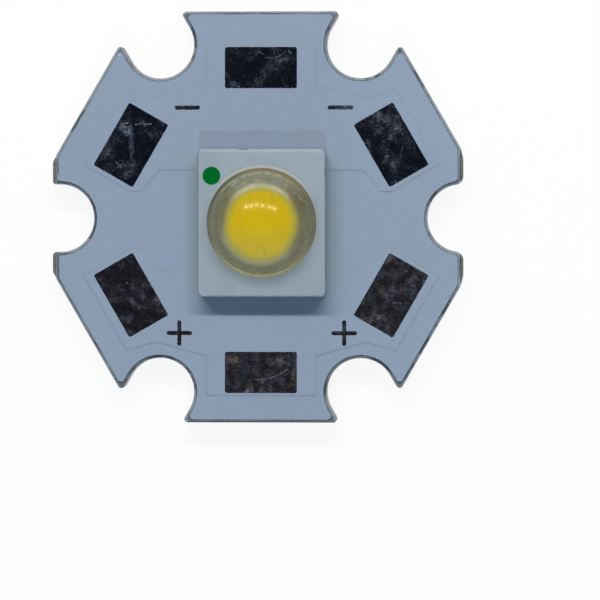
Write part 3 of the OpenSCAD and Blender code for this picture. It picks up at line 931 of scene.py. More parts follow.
@dataclass(frozen=True)
class Tin:
    """Levelled tin: a dark mirror under a dark ceiling, filmed over, spotted and scratched."""

    mirror: Colour = (84, 91, 108)
    warm: Colour = (98, 94, 97)
    haze: Colour = (146, 164, 190)
    dust: Colour = (172, 161, 156)
    film: float = 0.03
    low_film: float = 0.15
    marks: tuple[Mark, ...] = ()

    def material(self, patterns: Patterns) -> bpy.types.Material:
        """Builds a cloudy film, fine sparkle and the listed marks, all rougher than the mirror.

        The lower pads carry the thicker and browner film.

        Args:
            patterns: the shared node groups.

        Returns:
            The material.
        """
        surface = Surface("tin_coat", Metallic=1.0)
        graph = surface.graph
        place = graph.place()
        _, y, _ = graph.split(place)
        low = graph.step(y, 1.0, -1.0)
        wide = patterns.clouds(graph, place, 1.3, 2.8)
        middling = patterns.clouds(graph, graph.shift(place, (7, 3, 0)), 0.42, 2.8)
        fine = patterns.clouds(graph, place, 0.1, 3.2)
        clouds = graph.times(graph.step(wide, 0.3, 1.0), graph.spread(middling, 0.25, 1.0))
        clouds = graph.times(clouds, graph.spread(low, 0.44, 0.26))
        haze = graph.plus(graph.spread(low, self.film, self.low_film), clouds)
        haze = graph.times(haze, graph.spread(middling, 0.55, 1.35), graph.spread(fine, 0.75, 1.25))
        small = patterns.dots(graph, place, 0.14, 0.045, 0.3)
        large = patterns.dots(graph, place, 0.5, 0.05, 0.3)
        grains = graph.most(
            graph.times(small, graph.spread(wide, 0.12, 0.34)), graph.times(large, 0.55)
        )
        speckle = graph.times(graph.step(fine, 0.5, 0.95), graph.spread(middling, 0.04, 0.26))
        speckle = graph.times(speckle, graph.spread(low, 1.0, 0.5))
        worn = graph.most(graph.plus(haze, speckle), grains)
        for mark in self.marks:
            drawn = mark.draw(graph, patterns, place)
            under = graph.times(haze, 0.6)
            worn = graph.most(worn, graph.math("MULTIPLY_ADD", drawn, mark.strength, under))
        base = graph.tint(ink(*self.mirror), self.warm, low)
        tone = patterns.clouds(graph, graph.shift(place, (0, 5, 2)), 0.5, 3.6)
        brown = graph.times(tone, graph.spread(low, 0.35, 1.0))
        pale = graph.tint(ink(*self.haze), self.dust, brown)
        surface.set("Base Color", graph.mix(worn, base, pale))
        surface.set("Roughness", graph.spread(worn, 0.16, 0.62))
        ripple = graph.noise(place, 3.0, detail=3.0, rough=0.5)
        surface.bump(graph.plus(ripple, graph.times(worn, 0.4)), 3.0, level=0.85)
        return surface.material


@dataclass(frozen=True)
class Ceramic:
    """Pressed alumina: matt, blue-grey in this light, with small stains and pale pits.

    The radii are the dome's flange's and the metal film's, and smudges start at smudged_z.
    """

    colour: Colour = (148, 164, 175)
    stain: Colour = (134, 148, 158)
    # Painted highlight on the slanted bevel round the plate's top.
    edge: Colour = (152, 168, 178)
    # Painted light that the dome throws onto the plate: a pale crescent towards the lamps and a
    # warmer tint on both sides.
    glow: Colour = (178, 182, 174)
    warm: Colour = (146, 158, 163)
    film: Colour = OLIVE
    pit: Colour = (176, 188, 194)
    dirt: Colour = (88, 92, 92)
    smudge: Colour = (62, 66, 68)
    flange_r: float = 2.65
    film_r: float = 2.455
    smudged_z: float = 2.74
    smudges: tuple[Mark, ...] = (
        Mark((-0.8, 3.27), (-0.4, 3.28), 0.0, 0.05, 0.4, 0.9),
        Mark((0.1, 3.27), (0.45, 3.27), 0.0, 0.03, 0.9, 0.5),
        Mark((3.34, 2.35), (3.33, 1.95), 0.0, 0.05, 0.4, 0.8),
        Mark((-1.92, 1.98), (-1.9, 1.93), 0.0, 0.04, 0.0, 0.5),
    )

    def material(self, patterns: Patterns) -> bpy.types.Material:
        """Builds clouds, pits, a painted highlight on the bevel, and the painted light and shadow
        that the dome throws round it.

        Args:
            patterns: the shared node groups.

        Returns:
            The material.
        """
        surface = Surface("ceramic_white", Specular_IOR_Level=0.35)
        graph = surface.graph
        place = graph.place()
        x, y, z = graph.split(place)
        _, _, facing = graph.split(graph.coordinates("Normal"))
        veil = graph.group(patterns.veil, Place=place).outputs
        radius = veil["Radius"]
        beyond = graph.minus(radius, self.flange_r)
        flat = graph.shift(graph.stretch(place, (1, 1, 0)), TO_EMITTER)
        toward = graph.vector("NORMALIZE", flat)
        clouds = patterns.clouds(graph, place, 1.3, 2.4)
        fine = patterns.clouds(graph, place, 0.12, 1.8)
        colour = graph.tint(ink(*self.colour), self.stain, clouds, 0.35)
        # Painted highlight on the slanted bevel.
        colour = graph.tint(colour, self.edge, graph.band(facing, 0.2, 0.5, 0.8, 0.95), 0.4)
        # Painted light: a pale crescent that the dome throws just outside its flange, towards the
        # minus signs.
        ring = graph.times(graph.band(beyond, -0.01, 0.05, 0.07, 0.19), veil["High"])
        colour = graph.tint(colour, self.glow, ring)
        upper_left = graph.times(graph.step(x, -1.4, -2.7), graph.step(y, 0.0, 1.2))
        colour = graph.shade(colour, upper_left, 1.0, 0.93)
        # Painted light from the dome: a warmer tint on both sides of it, close to the flange.
        close = graph.step(beyond, 0.65, 0.05)
        aside = graph.step(graph.math("ABSOLUTE", graph.split(toward)[0]), 0.86, 0.99)
        colour = graph.tint(colour, self.warm, graph.times(aside, close), 0.8)
        bed = graph.step(beyond, -0.02, -0.08)
        shadow = graph.times(close, veil["Below"], graph.minus(1.0, bed))
        colour = graph.shade(colour, shadow, 1.0, 0.76)
        # Painted light that the dome throws under its flange, towards the lower left.
        bright = graph.times(bed, graph.step(graph.along(toward, LOWER_LEFT), 0.5, 0.95))
        colour = graph.shade(colour, bright, 1.0, 1.22)
        colour = graph.shade(colour, graph.step(beyond, 0.3, 0.03), 1.0, 0.93)
        filmed = graph.step(radius, self.film_r + 0.015, self.film_r - 0.015)
        colour = graph.tint(colour, self.film, filmed)
        colour = graph.tint(colour, self.pit, patterns.dots(graph, place, 0.55, 0.05, 0.2), 0.35)
        dirt = patterns.dots(graph, graph.shift(place, (3, 5, 0)), 0.8, 0.045, 0.14)
        colour = graph.tint(colour, self.dirt, dirt, 0.4)
        upper = graph.step(z, self.smudged_z, self.smudged_z + 0.08)
        for smudge in self.smudges:
            drawn = graph.times(smudge.draw(graph, patterns, place), upper)
            colour = graph.tint(colour, self.smudge, drawn, smudge.strength)
        surface.set("Base Color", graph.shade(colour, fine, 0.96, 1.04))
        surface.set("Roughness", graph.spread(fine, 0.5, 0.65))
        surface.bump(fine, 2.5)
        return surface.material


@dataclass(frozen=True)
class DotInk:
    """The stamped green polarity dot."""

    colour: Colour = (0, 98, 34)
    thin: Colour = (4, 108, 44)

    def material(self, patterns: Patterns) -> bpy.types.Material:
        """Builds ink that is a little uneven.

        Args:
            patterns: the shared node groups.

        Returns:
            The material.
        """
        surface = Surface("dot_green", Specular_IOR_Level=0.0)
        graph = surface.graph
        fine = patterns.clouds(graph, graph.place(), 0.1, 2.0)
        surface.set("Base Color", graph.tint(ink(*self.colour), self.thin, fine, 0.5))
        surface.set("Roughness", graph.spread(fine, 0.5, 0.7))
        surface.bump(fine, 2.0)
        return surface.material


@dataclass(frozen=True)
class Film:
    """The metal film under the dome, dulled to an olive grey, with pale veins of painted highlight.
    """

    colour: Colour = OLIVE
    dark: Colour = (98, 97, 74)
    # Colour of the painted highlights in the veins and streaks.
    vein_highlight: Colour = (206, 202, 170)
    dusk: Colour = (86, 78, 26)
    gap: Colour = (80, 78, 36)
    milk: Colour = MILK

    def material(self, patterns: Patterns) -> bpy.types.Material:
        """Builds marbling whose pale veins are painted highlights, stronger towards the edge with
        the minus signs.

        Args:
            patterns: the shared node groups.

        Returns:
            The material.
        """
        surface = Surface("film_metal", Metallic=0.1, Specular_IOR_Level=0.2)
        graph = surface.graph
        place = graph.place()
        veil = graph.group(patterns.veil, Place=place).outputs
        clouds = patterns.clouds(graph, place, 0.8, 2.6)
        veins = graph.noise(place, 4.2, detail=5.0, rough=0.65, twist=1.8)
        # Painted highlights: pale veins, stronger towards the minus signs, where the lamps are.
        lit = graph.band(veins, 0.5, 0.57, 0.6, 0.68)
        lit = graph.times(lit, graph.spread(veil["High"], 0.14, 0.8))
        gap = graph.times(graph.step(veins, 0.48, 0.42), graph.spread(veil["High"], 0.25, 0.6))
        colour = graph.tint(ink(*self.colour), self.dark, clouds, 0.45)
        colour = graph.tint(colour, self.vein_highlight, lit)
        colour = graph.tint(colour, self.gap, gap)
        colour = graph.tint(colour, self.dusk, veil["Dusk"], 0.75)
        # Painted highlights: short pale streaks near the rim.
        colour = graph.tint(colour, self.vein_highlight, veil["Streak"])
        surface.set("Base Color", graph.tint(colour, self.milk, veil["Milk"]))
        surface.set("Roughness", graph.spread(clouds, 0.4, 0.6))
        surface.bump(veins, 2.0)
        return surface.material


@dataclass(frozen=True)
class Gel:
    """Silicone gel: yellow with phosphor in the middle, clouding to milk and then clear outside.

    The phosphor and the ring that holds it in have run into each other, so both wear this. The
    painted shadows of the bond wires lie about the emitter's middle.
    """

    name: str
    colour: Colour = (209, 182, 15)
    low: Colour = (198, 177, 52)
    clear: Colour = (104, 106, 82)
    milk: Colour = MILK
    # Colour of the painted shadows of the bond wires.
    wire: Colour = (160, 146, 40)
    thin: Colour = (172, 176, 72)
    # Colour of the painted highlights: short pale streaks near the gel's edge.
    streak_highlight: Colour = (196, 194, 164)
    dusk: Colour = (94, 90, 62)
    # Where the painted shadows of the bond wires lie.
    wires: tuple[Mark, ...] = (
        Mark((0.4, 0.72), (0.4, 1.12), 0.0, 0.09, 0.7, 0.4),
        Mark((-0.4, 0.72), (-0.4, 1.12), 0.0, 0.09, 0.7, 0.4),
        Mark((0.14, -0.85), (0.14, -1.24), 0.0, 0.09, 0.7, 0.4),
        Mark((-0.14, -0.85), (-0.14, -1.24), 0.0, 0.09, 0.7, 0.4),
    )

    def material(self, patterns: Patterns) -> bpy.types.Material:
        """Builds the rim's fade, grain and four faint upright lines of painted shadow over the
        wires.

        Args:
            patterns: the shared node groups.

        Returns:
            The material.
        """
        surface = Surface(self.name, Specular_IOR_Level=0.1)
        graph = surface.graph
        veil = graph.group(patterns.veil, Place=graph.place()).outputs
        place = graph.shift(graph.place(), TO_EMITTER)
        _, y, _ = graph.split(place)
        clouds = patterns.clouds(graph, place, 0.7, 2.0)
        grain = patterns.clouds(graph, place, 0.06, 2.2)
        colour = graph.tint(ink(*self.colour), self.low, graph.step(y, 0.1, -1.0))
        colour = graph.shade(colour, graph.step(veil["Radius"], 0.3, 0.9), 1.0, 0.955)
        colour = graph.shade(colour, clouds, 0.96, 1.04)
        # Painted shadows of the bond wires: four faint upright lines.
        for wire in self.wires:
            colour = graph.tint(colour, self.wire, wire.draw(graph, patterns, place), wire.strength)
        gold = veil["Gold"]
        clear = graph.tint(ink(*self.clear), self.dusk, veil["Dusk"], 0.75)
        # Painted highlights: short pale streaks in the clear gel near its edge.
        clear = graph.tint(clear, self.streak_highlight, veil["Streak"])
        colour = graph.mix(gold, clear, colour)
        fading = graph.times(gold, graph.minus(1.0, gold))
        colour = graph.tint(colour, self.thin, fading, 1.6)
        colour = graph.tint(colour, self.milk, veil["Milk"])
        surface.set("Base Color", graph.shade(colour, grain, 0.96, 1.04))
        surface.set("Roughness", graph.spread(grain, 0.6, 0.8))
        surface.bump(grain, 2.0, level=0.88)
        return surface.material


@dataclass(frozen=True)
class ClearSilicone:
    """The moulded dome: clear, a little warm, and browner in its thin flange.

    The flange starts at dome_r, and a fine dark line runs round it at line_r. Round the flange,
    light and shade are painted into its tint.
    """

    clear: Colour = (250, 249, 243)
    side: Colour = (148, 127, 90)
    # Tints painted by direction: light towards the lamps at the top, shade to the upper left, and
    # the dome's thrown light at the bottom.
    top: Colour = (202, 150, 66)
    shaded: Colour = (107, 100, 55)
    gold: Colour = (255, 215, 118)
    gleam: Colour = (200, 184, 148)
    passed: Colour = (0.94, 0.935, 0.9)
    ior: float = 1.42
    dome_r: float = 2.5
    line_r: float = 2.575

    def material(self, patterns: Patterns) -> bpy.types.Material:
        """Builds glass that lets the lamps' light through to what it covers.

        Light that goes on from what lies inside, and every shadow, passes straight through,
        and everything that the camera or a mirror sees is bent by the dome.

        Args:
            patterns: the shared node groups.

        Returns:
            The material.
        """
        surface = Surface(
            "dome_silicone",
            Transmission_Weight=1.0,
            IOR=self.ior,
            Metallic=0.0,
            Specular_Tint=ink(*self.gleam),
        )
        graph = surface.graph
        place = graph.shift(graph.place(), TO_EMITTER)
        flat = graph.stretch(place, (1, 1, 0))
        radius = graph.vector("LENGTH", flat)
        toward = graph.vector("NORMALIZE", flat)
        _, up, _ = graph.split(toward)
        fine = patterns.clouds(graph, place, 0.5, 1.6)
        left = graph.along(toward, (-0.8, 0.6))
        off_line = graph.math("ABSOLUTE", graph.minus(radius, self.line_r))
        # Painted light and shade on the flange: orange at the top, towards the lamps, painted shade
        # to the upper left, and a painted gold glow at the bottom, where the dome throws light.
        flange = graph.tint(ink(*self.side), self.top, graph.step(up, 0.3, 0.9))
        flange = graph.tint(flange, self.shaded, graph.step(left, 0.75, 1.0))
        flange = graph.tint(flange, self.gold, graph.step(up, -0.2, -0.95))
        flange = graph.shade(flange, graph.step(off_line, 0.04, 0.01), 1.0, 0.82)
        edge = graph.step(radius, self.dome_r - 0.02, self.dome_r + 0.04)
        surface.set("Base Color", graph.mix(edge, ink(*self.clear), flange))
        surface.set("Roughness", graph.spread(fine, 0.185, 0.205))
        surface.bump(fine, 0.03)
        through = graph.add("ShaderNodeBsdfTransparent")
        through.inputs[0].default_value = (*self.passed, 1.0)
        ray = graph.add("ShaderNodeLightPath").outputs
        inside = graph.add("ShaderNodeNewGeometry").outputs["Backfacing"]
        mirrored = graph.times(ray["Is Glossy Ray"], inside)
        straight = graph.most(ray["Is Shadow Ray"], ray["Is Diffuse Ray"], mirrored)
        surface.blend(straight, through.outputs[0])
        return surface.material


@dataclass(frozen=True)
class PlainMetal:
    """A metal that mostly lies hidden: copper, gold, solder or the chip's bond."""

    name: str
    colour: Colour
    dull: Colour
    smooth: float = 0.25
    rough: float = 0.45
    metallic: float = 1.0

    def material(self, patterns: Patterns) -> bpy.types.Material:
        """Builds a metal with cloudy tarnish.

        Args:
            patterns: the shared node groups.

        Returns:
            The material.
        """
        surface = Surface(self.name, Metallic=self.metallic)
        graph = surface.graph
        fine = patterns.clouds(graph, graph.place(), 0.25, 2.4)
        surface.set("Base Color", graph.tint(ink(*self.colour), self.dull, fine))
        surface.set("Roughness", graph.spread(fine, self.smooth, self.rough))
        surface.bump(fine, 3.0)
        return surface.material


# ---------------------------------------------------------------------------------------------
# Meshes
# ---------------------------------------------------------------------------------------------


def make_piece(
    name: str, points: np.ndarray, faces: Faces, material: bpy.types.Material
) -> bpy.types.Object:
    """Makes an object that sits at the origin, with its place in its mesh.

    Args:
        name: the object's name.
        points: its points in millimetres, one row each.
        faces: each face's point numbers, in order, so that it faces outwards.
        material: what it is made of.

    Returns:
        The object, which rides on the board.
    """
    mesh = bpy.data.meshes.new(name)
    mesh.from_pydata((points * MM).tolist(), [], faces)
    mesh.polygons.foreach_set("use_smooth", np.ones(len(mesh.polygons), dtype=bool))
    mesh.materials.append(material)
    mesh.validate()
    mesh.update()
    piece = bpy.data.objects.new(name, mesh)
    bpy.context.scene.collection.objects.link(piece)
    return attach(piece, "root")


def stand_in(
    name: str,
    points: np.ndarray,
    faces: Faces,
    material: bpy.types.Material,
    node: str,
) -> None:
    """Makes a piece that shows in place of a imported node.

    Args:
        name: the piece's name.
        points: its points in millimetres, one row each.
        faces: each face's point numbers.
        material: what it is made of.
        node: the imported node.
    """
    piece = make_piece(name, points, faces, material)
    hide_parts(node)
    log.info("%s: %d faces", name, len(faces))


def lattice(rows: int, columns: int) -> np.ndarray:
    """Numbers the quads of a grid of points whose last column joins the first.

    Args:
        rows, columns: how many points the grid has each way.

    Returns:
        One row of four point numbers for each quad.
    """
    row, column = np.meshgrid(np.arange(rows - 1), np.arange(columns), indexing="ij")
    beside = (column + 1) % columns
    near, far = row * columns, (row + 1) * columns
    corners = [near + column, near + beside, far + beside, far + column]
    return np.stack(corners, axis=-1).reshape(-1, 4)


def at_heights(rings: np.ndarray, heights: np.ndarray) -> np.ndarray:
    """Gives every ring of flat points its height.

    Args:
        rings: an array of rings, points, and x and y.
        heights: one height for each ring.

    Returns:
        Rows of x, y and z, ring by ring.
    """
    tall = np.broadcast_to(heights[:, None, None], (*rings.shape[:2], 1))
    return np.concatenate([rings, tall], axis=-1).reshape(-1, 3)


def spin(profile: np.ndarray, turns: int) -> np.ndarray:
    """Turns a profile round the Z axis: x = r cos a, y = r sin a, z as in the profile.

    Args:
        profile: rows of radius and height.
        turns: how many points there are round the axis.

    Returns:
        Rows of x, y and z, one ring for each row of the profile.
    """
    angle = np.linspace(0, 2 * math.pi, turns, endpoint=False)
    circle = np.stack([np.cos(angle), np.sin(angle)], axis=-1)
    return at_heights(profile[:, 0, None, None] * circle, profile[:, 1])


def revolve(profile: np.ndarray, turns: int) -> tuple[np.ndarray, Faces]:
    """Turns a profile into a solid, with one point for each pole.

    Args:
        profile: rows of radius and height, from the pole below to the pole above, both at radius 0.
        turns: how many points there are round the axis.

    Returns:
        The points, and the faces with both poles closed.
    """
    grid = spin(profile[1:-1], turns)
    points = np.vstack([grid, [[0, 0, profile[0, 1]], [0, 0, profile[-1, 1]]]])
    foot, top = len(grid), len(grid) + 1
    here = np.arange(turns)
    there = (here + 1) % turns
    last = len(grid) - turns
    below = np.stack([np.full(turns, foot), there, here], axis=-1)
    above = np.stack([np.full(turns, top), last + here, last + there], axis=-1)
    return points, [*lattice(len(profile) - 2, turns).tolist(), *below.tolist(), *above.tolist()]


def turn_ring(profile: np.ndarray, turns: int) -> tuple[np.ndarray, Faces]:
    """Turns a closed profile into a ring, without poles.

    Args:
        profile: rows of radius and height, below outwards and then above inwards.
        turns: how many points there are round the axis.

    Returns:
        The points, and the faces, of which the last row joins the first.
    """
    points = spin(profile, turns)
    return points, (lattice(len(profile) + 1, turns) % len(points)).tolist()


def pillow(
    half_l: float, half_w: float, corner: float, heights: np.ndarray, rings: np.ndarray, turns: int
) -> tuple[np.ndarray, np.ndarray]:
    """A low cushion on a rectangle with round corners.

    A point at angle s on the outline is the corner arc's middle plus the arc, and each ring
    lies a share t of the way from the rectangle's spine, the line that is half_l - half_w long
    each way, to that outline. The ring's height is given.

    Args:
        half_l, half_w: half the length along X and half the width along Y.
        corner: the corners' radius.
        heights: the height of each ring, from the outline inwards.
        rings: the share t of each ring, from 1 at the outline down to 0 at the spine.
        turns: how many points there are on the outline, a multiple of 4.

    Returns:
        The points, ring by ring from the outline inwards, and the quads between the rings.
    """
    bend = np.linspace(0, math.pi / 2, turns // 8)
    sides = [
        np.stack(
            [
                right * (half_l - corner) + corner * np.cos(bend + math.pi / 2 * k),
                ahead * (half_w - corner) + corner * np.sin(bend + math.pi / 2 * k),
            ],
            axis=-1,
        )
        for k, (right, ahead) in enumerate([(1, 1), (-1, 1), (-1, -1), (1, -1)])
    ]
    share = np.linspace(0, 1, turns // 4 - turns // 8 + 2)[1:-1, None]
    between = [
        side[-1] + (sides[(k + 1) % 4][0] - side[-1]) * share for k, side in enumerate(sides)
    ]
    outline = np.vstack([part for pair in zip(sides, between) for part in pair])
    along = np.clip(outline[:, 0], half_w - half_l, half_l - half_w)
    spine = np.stack([along, np.zeros(len(outline))], axis=-1)
    flat = spine + (outline - spine) * rings[:, None, None]
    return at_heights(flat, heights), lattice(len(rings), len(outline))


def rounded(
    corners: np.ndarray, radii: np.ndarray, insets: np.ndarray, steps: int, more: float
) -> np.ndarray:
    """Outlines of a convex shape with round corners, one outline for each inset.

    For the inward directions m and n of the two sides that meet at a corner c, the corner's arc
    has its middle at c + r (m + n) / (1 + m . n), and runs from the direction -m to -n at the
    radius r less the inset. Towards +Y the inset is more times as wide.

    Args:
        corners: the sharp corners, counter-clockwise, one row each.
        radii: each corner's radius, more than every inset.
        insets: how far inside the shape's side each outline lies.
        steps: how many points each corner has.
        more: the inset's factor on the side towards +Y.

    Returns:
        An array of outlines, points, and x and y.
    """
    run = np.roll(corners, -1, axis=0) - corners
    run = run / np.linalg.norm(run, axis=1, keepdims=True)
    inward = np.stack([-run[:, 1], run[:, 0]], axis=-1)
    before = np.roll(inward, 1, axis=0)
    share = radii / (1 + (before * inward).sum(axis=1))
    middle = corners + (before + inward) * share[:, None]
    start = np.arctan2(-before[:, 1], -before[:, 0])
    sweep = (np.arctan2(-inward[:, 1], -inward[:, 0]) - start) % (2 * math.pi)
    angle = start[:, None] + sweep[:, None] * np.linspace(0, 1, steps)
    wider = 1 + (more - 1) * np.clip(np.sin(angle), 0, 1)
    reach = radii[None, :, None] - insets[:, None, None] * wider[None]
    arc = np.stack([np.cos(angle), np.sin(angle)], axis=-1)
    flat = middle[None, :, None, :] + reach[..., None] * arc[None]
    return flat.reshape(len(insets), -1, 2)


def turned(
    points: np.ndarray, degrees: float, middle: tuple[float, float, float]
) -> np.ndarray:
    """Turns points about Z and then moves them to a middle.

    Args:
        points: rows of x, y and z.
        degrees: the angle.
        middle: where the origin goes.

    Returns:
        The new points.
    """
    angle = math.radians(degrees)
    cos, sin = math.cos(angle), math.sin(angle)
    return points @ np.array([[cos, sin, 0], [-sin, cos, 0], [0, 0, 1]]) + np.array(middle)


def dress(frame: Frame, names: Sequence[str], material: bpy.types.Material) -> None:
    """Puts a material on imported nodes, which keep their meshes.

    Args:
        frame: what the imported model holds.
        names: the nodes.
        material: what they are made of.
    """
    for name in names:
        node = frame["nodes"][name]
        if not node.material_slots:
            node.data.materials.append(material)
        for slot in node.material_slots:
            slot.material = material
        log.info("%s: %s", name, material.name)


# ---------------------------------------------------------------------------------------------
# Sub-assemblies
# ---------------------------------------------------------------------------------------------


@dataclass
class Board:
    """The aluminium core with its insulation, copper and mask."""

    patterns: Patterns
    mask: Finish = MaskInk()
    insulation: Finish = Insulation()
    core: Finish = PunchedAluminium()
    copper: Finish = PlainMetal("copper_foil", (196, 132, 92), (150, 96, 68))

    def build(self, frame: Frame) -> None:
        """Dresses the board's layers.

        Args:
            frame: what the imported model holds.
        """
        dress(frame, ["solder_mask"], self.mask.material(self.patterns))
        dress(frame, ["insulation_layer"], self.insulation.material(self.patterns))
        dress(frame, ["aluminium_core"], self.core.material(self.patterns))
        copper = self.copper.material(self.patterns)
        dress(frame, ["copper_minus", "copper_plus", "heat_spreader"], copper)


class Sign(Enum):
    """Which strokes a polarity sign has, as their angles."""

    MINUS = (0.0,)
    PLUS = (0.0, 90.0)


@dataclass
class Tinning:
    """The tinned wire pads and signs, a little crowned as levelled tin is.

    A pad is given by its direction in degrees and its width, a sign by its kind and middle.
    """

    patterns: Patterns
    finish: Tin = Tin()
    sign_finish: Tin = Tin(film=0.2, low_film=0.24)
    copper_top: float = 1.67
    thickness: float = 0.02
    crown: float = 0.002
    foot: float = 0.0005
    lip_w: float = 0.02
    pad_l: float = 3.5
    pad_out: float = 8.4
    pad_corner: float = 0.1
    sign_l: float = 1.24
    sign_w: float = 0.2
    turns: int = 96
    pads: dict[str, tuple[float, float]] = field(
        default_factory=lambda: {
            "pad_minus_left": (150, 2.2),
            "pad_minus_middle": (90, 2.0),
            "pad_minus_right": (30, 2.2),
            "pad_plus_left": (210, 2.2),
            "pad_plus_middle": (270, 2.0),
            "pad_plus_right": (330, 2.2),
        }
    )
    signs: dict[str, tuple[Sign, float, float]] = field(
        default_factory=lambda: {
            "sign_minus_left": (Sign.MINUS, -3.58, 5.46),
            "sign_minus_right": (Sign.MINUS, 3.87, 5.46),
            "sign_plus_left": (Sign.PLUS, -3.97, -5.49),
            "sign_plus_right": (Sign.PLUS, 4.05, -5.49),
        }
    )

    def coat(self, half_l: float, half_w: float, corner: float) -> tuple[np.ndarray, np.ndarray]:
        """One coat of tin, whose top rises by crown (1 - t^2), with t = 1 at its edge.

        The lip round it, lip_w wide, is a quarter of an ellipse.

        Args:
            half_l, half_w: half its length and width.
            corner: the radius of its corners.

        Returns:
            The points about its middle, with 0 at the copper, and the quads.
        """
        lip = self.lip_w / half_w
        over_lip = 1 - lip * np.array([0.15, 0.5, 1.0])
        rings = np.concatenate([[1.0, 1.0], over_lip, np.linspace(1 - lip, 0, 12)[1:]])
        edge = np.clip((1 - rings) / lip, 0, 1)
        body = (self.thickness - self.crown) * np.sqrt(1 - (1 - edge) ** 2)
        heights = self.foot + body + self.crown * (1 - rings**2)
        heights[0] = 0.0
        return pillow(half_l, half_w, corner, heights, rings, self.turns)

    def build(self, frame: Frame) -> None:
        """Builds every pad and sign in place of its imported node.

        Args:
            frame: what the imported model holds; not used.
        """
        for name, (angle, width) in self.pads.items():
            film = FILMS.get(name, self.finish.low_film)
            finish = replace(self.finish, marks=MARKS[name], low_film=film)
            points, faces = self.coat(self.pad_l / 2, width / 2, self.pad_corner)
            turn, far = math.radians(angle), self.pad_out - width / 2
            middle = (ART[0] + far * math.cos(turn), ART[1] + far * math.sin(turn), self.copper_top)
            coats = [turned(points, angle + 90, middle)]
            self.place(name, coats, faces, finish.material(self.patterns))
        material = self.sign_finish.material(self.patterns)
        for name, (sign, x, y) in self.signs.items():
            points, faces = self.coat(self.sign_l / 2, self.sign_w / 2, self.sign_w / 2)
            middle = (ART[0] + x, ART[1] + y, self.copper_top)
            coats = [turned(points, angle, middle) for angle in sign.value]
            self.place(name, coats, faces, material)

    def place(
        self,
        node: str,
        coats: Sequence[np.ndarray],
        faces: np.ndarray,
        material: bpy.types.Material,
    ) -> None:
        """Makes one piece of one or more coats that share their faces' order.

        Args:
            node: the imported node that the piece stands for.
            coats: the points of each coat.
            faces: the quads of one coat.
            material: the tin.
        """
        every = np.vstack([faces + k * len(coats[0]) for k in range(len(coats))]).tolist()
        stand_in(f"tin_{node}", np.vstack(coats), every, material, node)


@dataclass
class Package:
    """The ceramic plate with its contacts, filled holes, solder and polarity dot."""

    patterns: Patterns
    ceramic: Finish = Ceramic()
    dot: Finish = DotInk()
    gold: Finish = PlainMetal("contact_metal", (222, 196, 138), (190, 160, 100))
    solder: Finish = PlainMetal("solder", (176, 178, 182), (132, 134, 138), rough=0.5)
    low: float = 1.77
    high: float = 2.92
    foot: float = 0.04
    key: float = 0.16
    edge_r: float = 0.09
    edge_fall: float = 1.6
    upper_edge: float = 2.2
    corner_r: tuple[float, ...] = (0.2, 0.28, 0.2, 0.2, 0.2)

    def build(self, frame: Frame) -> None:
        """Builds the plate and dresses the package's other nodes.

        Args:
            frame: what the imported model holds.
        """
        self.plate()
        dress(frame, ["polarity_dot"], self.dot.material(self.patterns))
        contacts = ["contact_minus", "contact_plus", "contact_heat", "vias_minus", "vias_plus"]
        dress(frame, contacts, self.gold.material(self.patterns))
        solder = self.solder.material(self.patterns)
        dress(frame, ["solder_minus", "solder_plus", "solder_heat"], solder)

    def plate(self) -> None:
        """Builds the pressed plate, rounded at its corners and along its upper edge.

        With the edge's radius e, a point at angle a on the edge lies e (1 - cos a) inside the
        plate's side, more towards the lamps, and edge_fall times e (1 - sin a) below its top.
        """
        half_w, half_l, key = PLATE_W / 2, PLATE_L / 2, self.key
        corners = np.array(
            [
                [half_w, -half_l],
                [half_w, half_l],
                [-half_w, half_l],
                [-half_w, key - half_l],
                [key - half_w, -half_l],
            ]
        )
        angle = np.linspace(0, math.pi / 2, 8)
        insets = np.concatenate([[self.foot, 0.0], self.edge_r * (1 - np.cos(angle))])
        fall = self.edge_fall * self.edge_r * (1 - np.sin(angle))
        heights = np.concatenate([[self.low, self.low + self.foot], self.high - fall])
        rings = rounded(corners, np.array(self.corner_r), insets, 10, self.upper_edge)
        count = rings.shape[1]
        points = at_heights(rings, heights) + np.array([*EMITTER, 0.0])
        below = np.arange(count)[::-1].tolist()
        above = (np.arange(count) + len(points) - count).tolist()
        faces = [*lattice(len(heights), count).tolist(), below, above]
        material = self.ceramic.material(self.patterns)
        stand_in("ceramic_plate", points, faces, material, "ceramic_base")


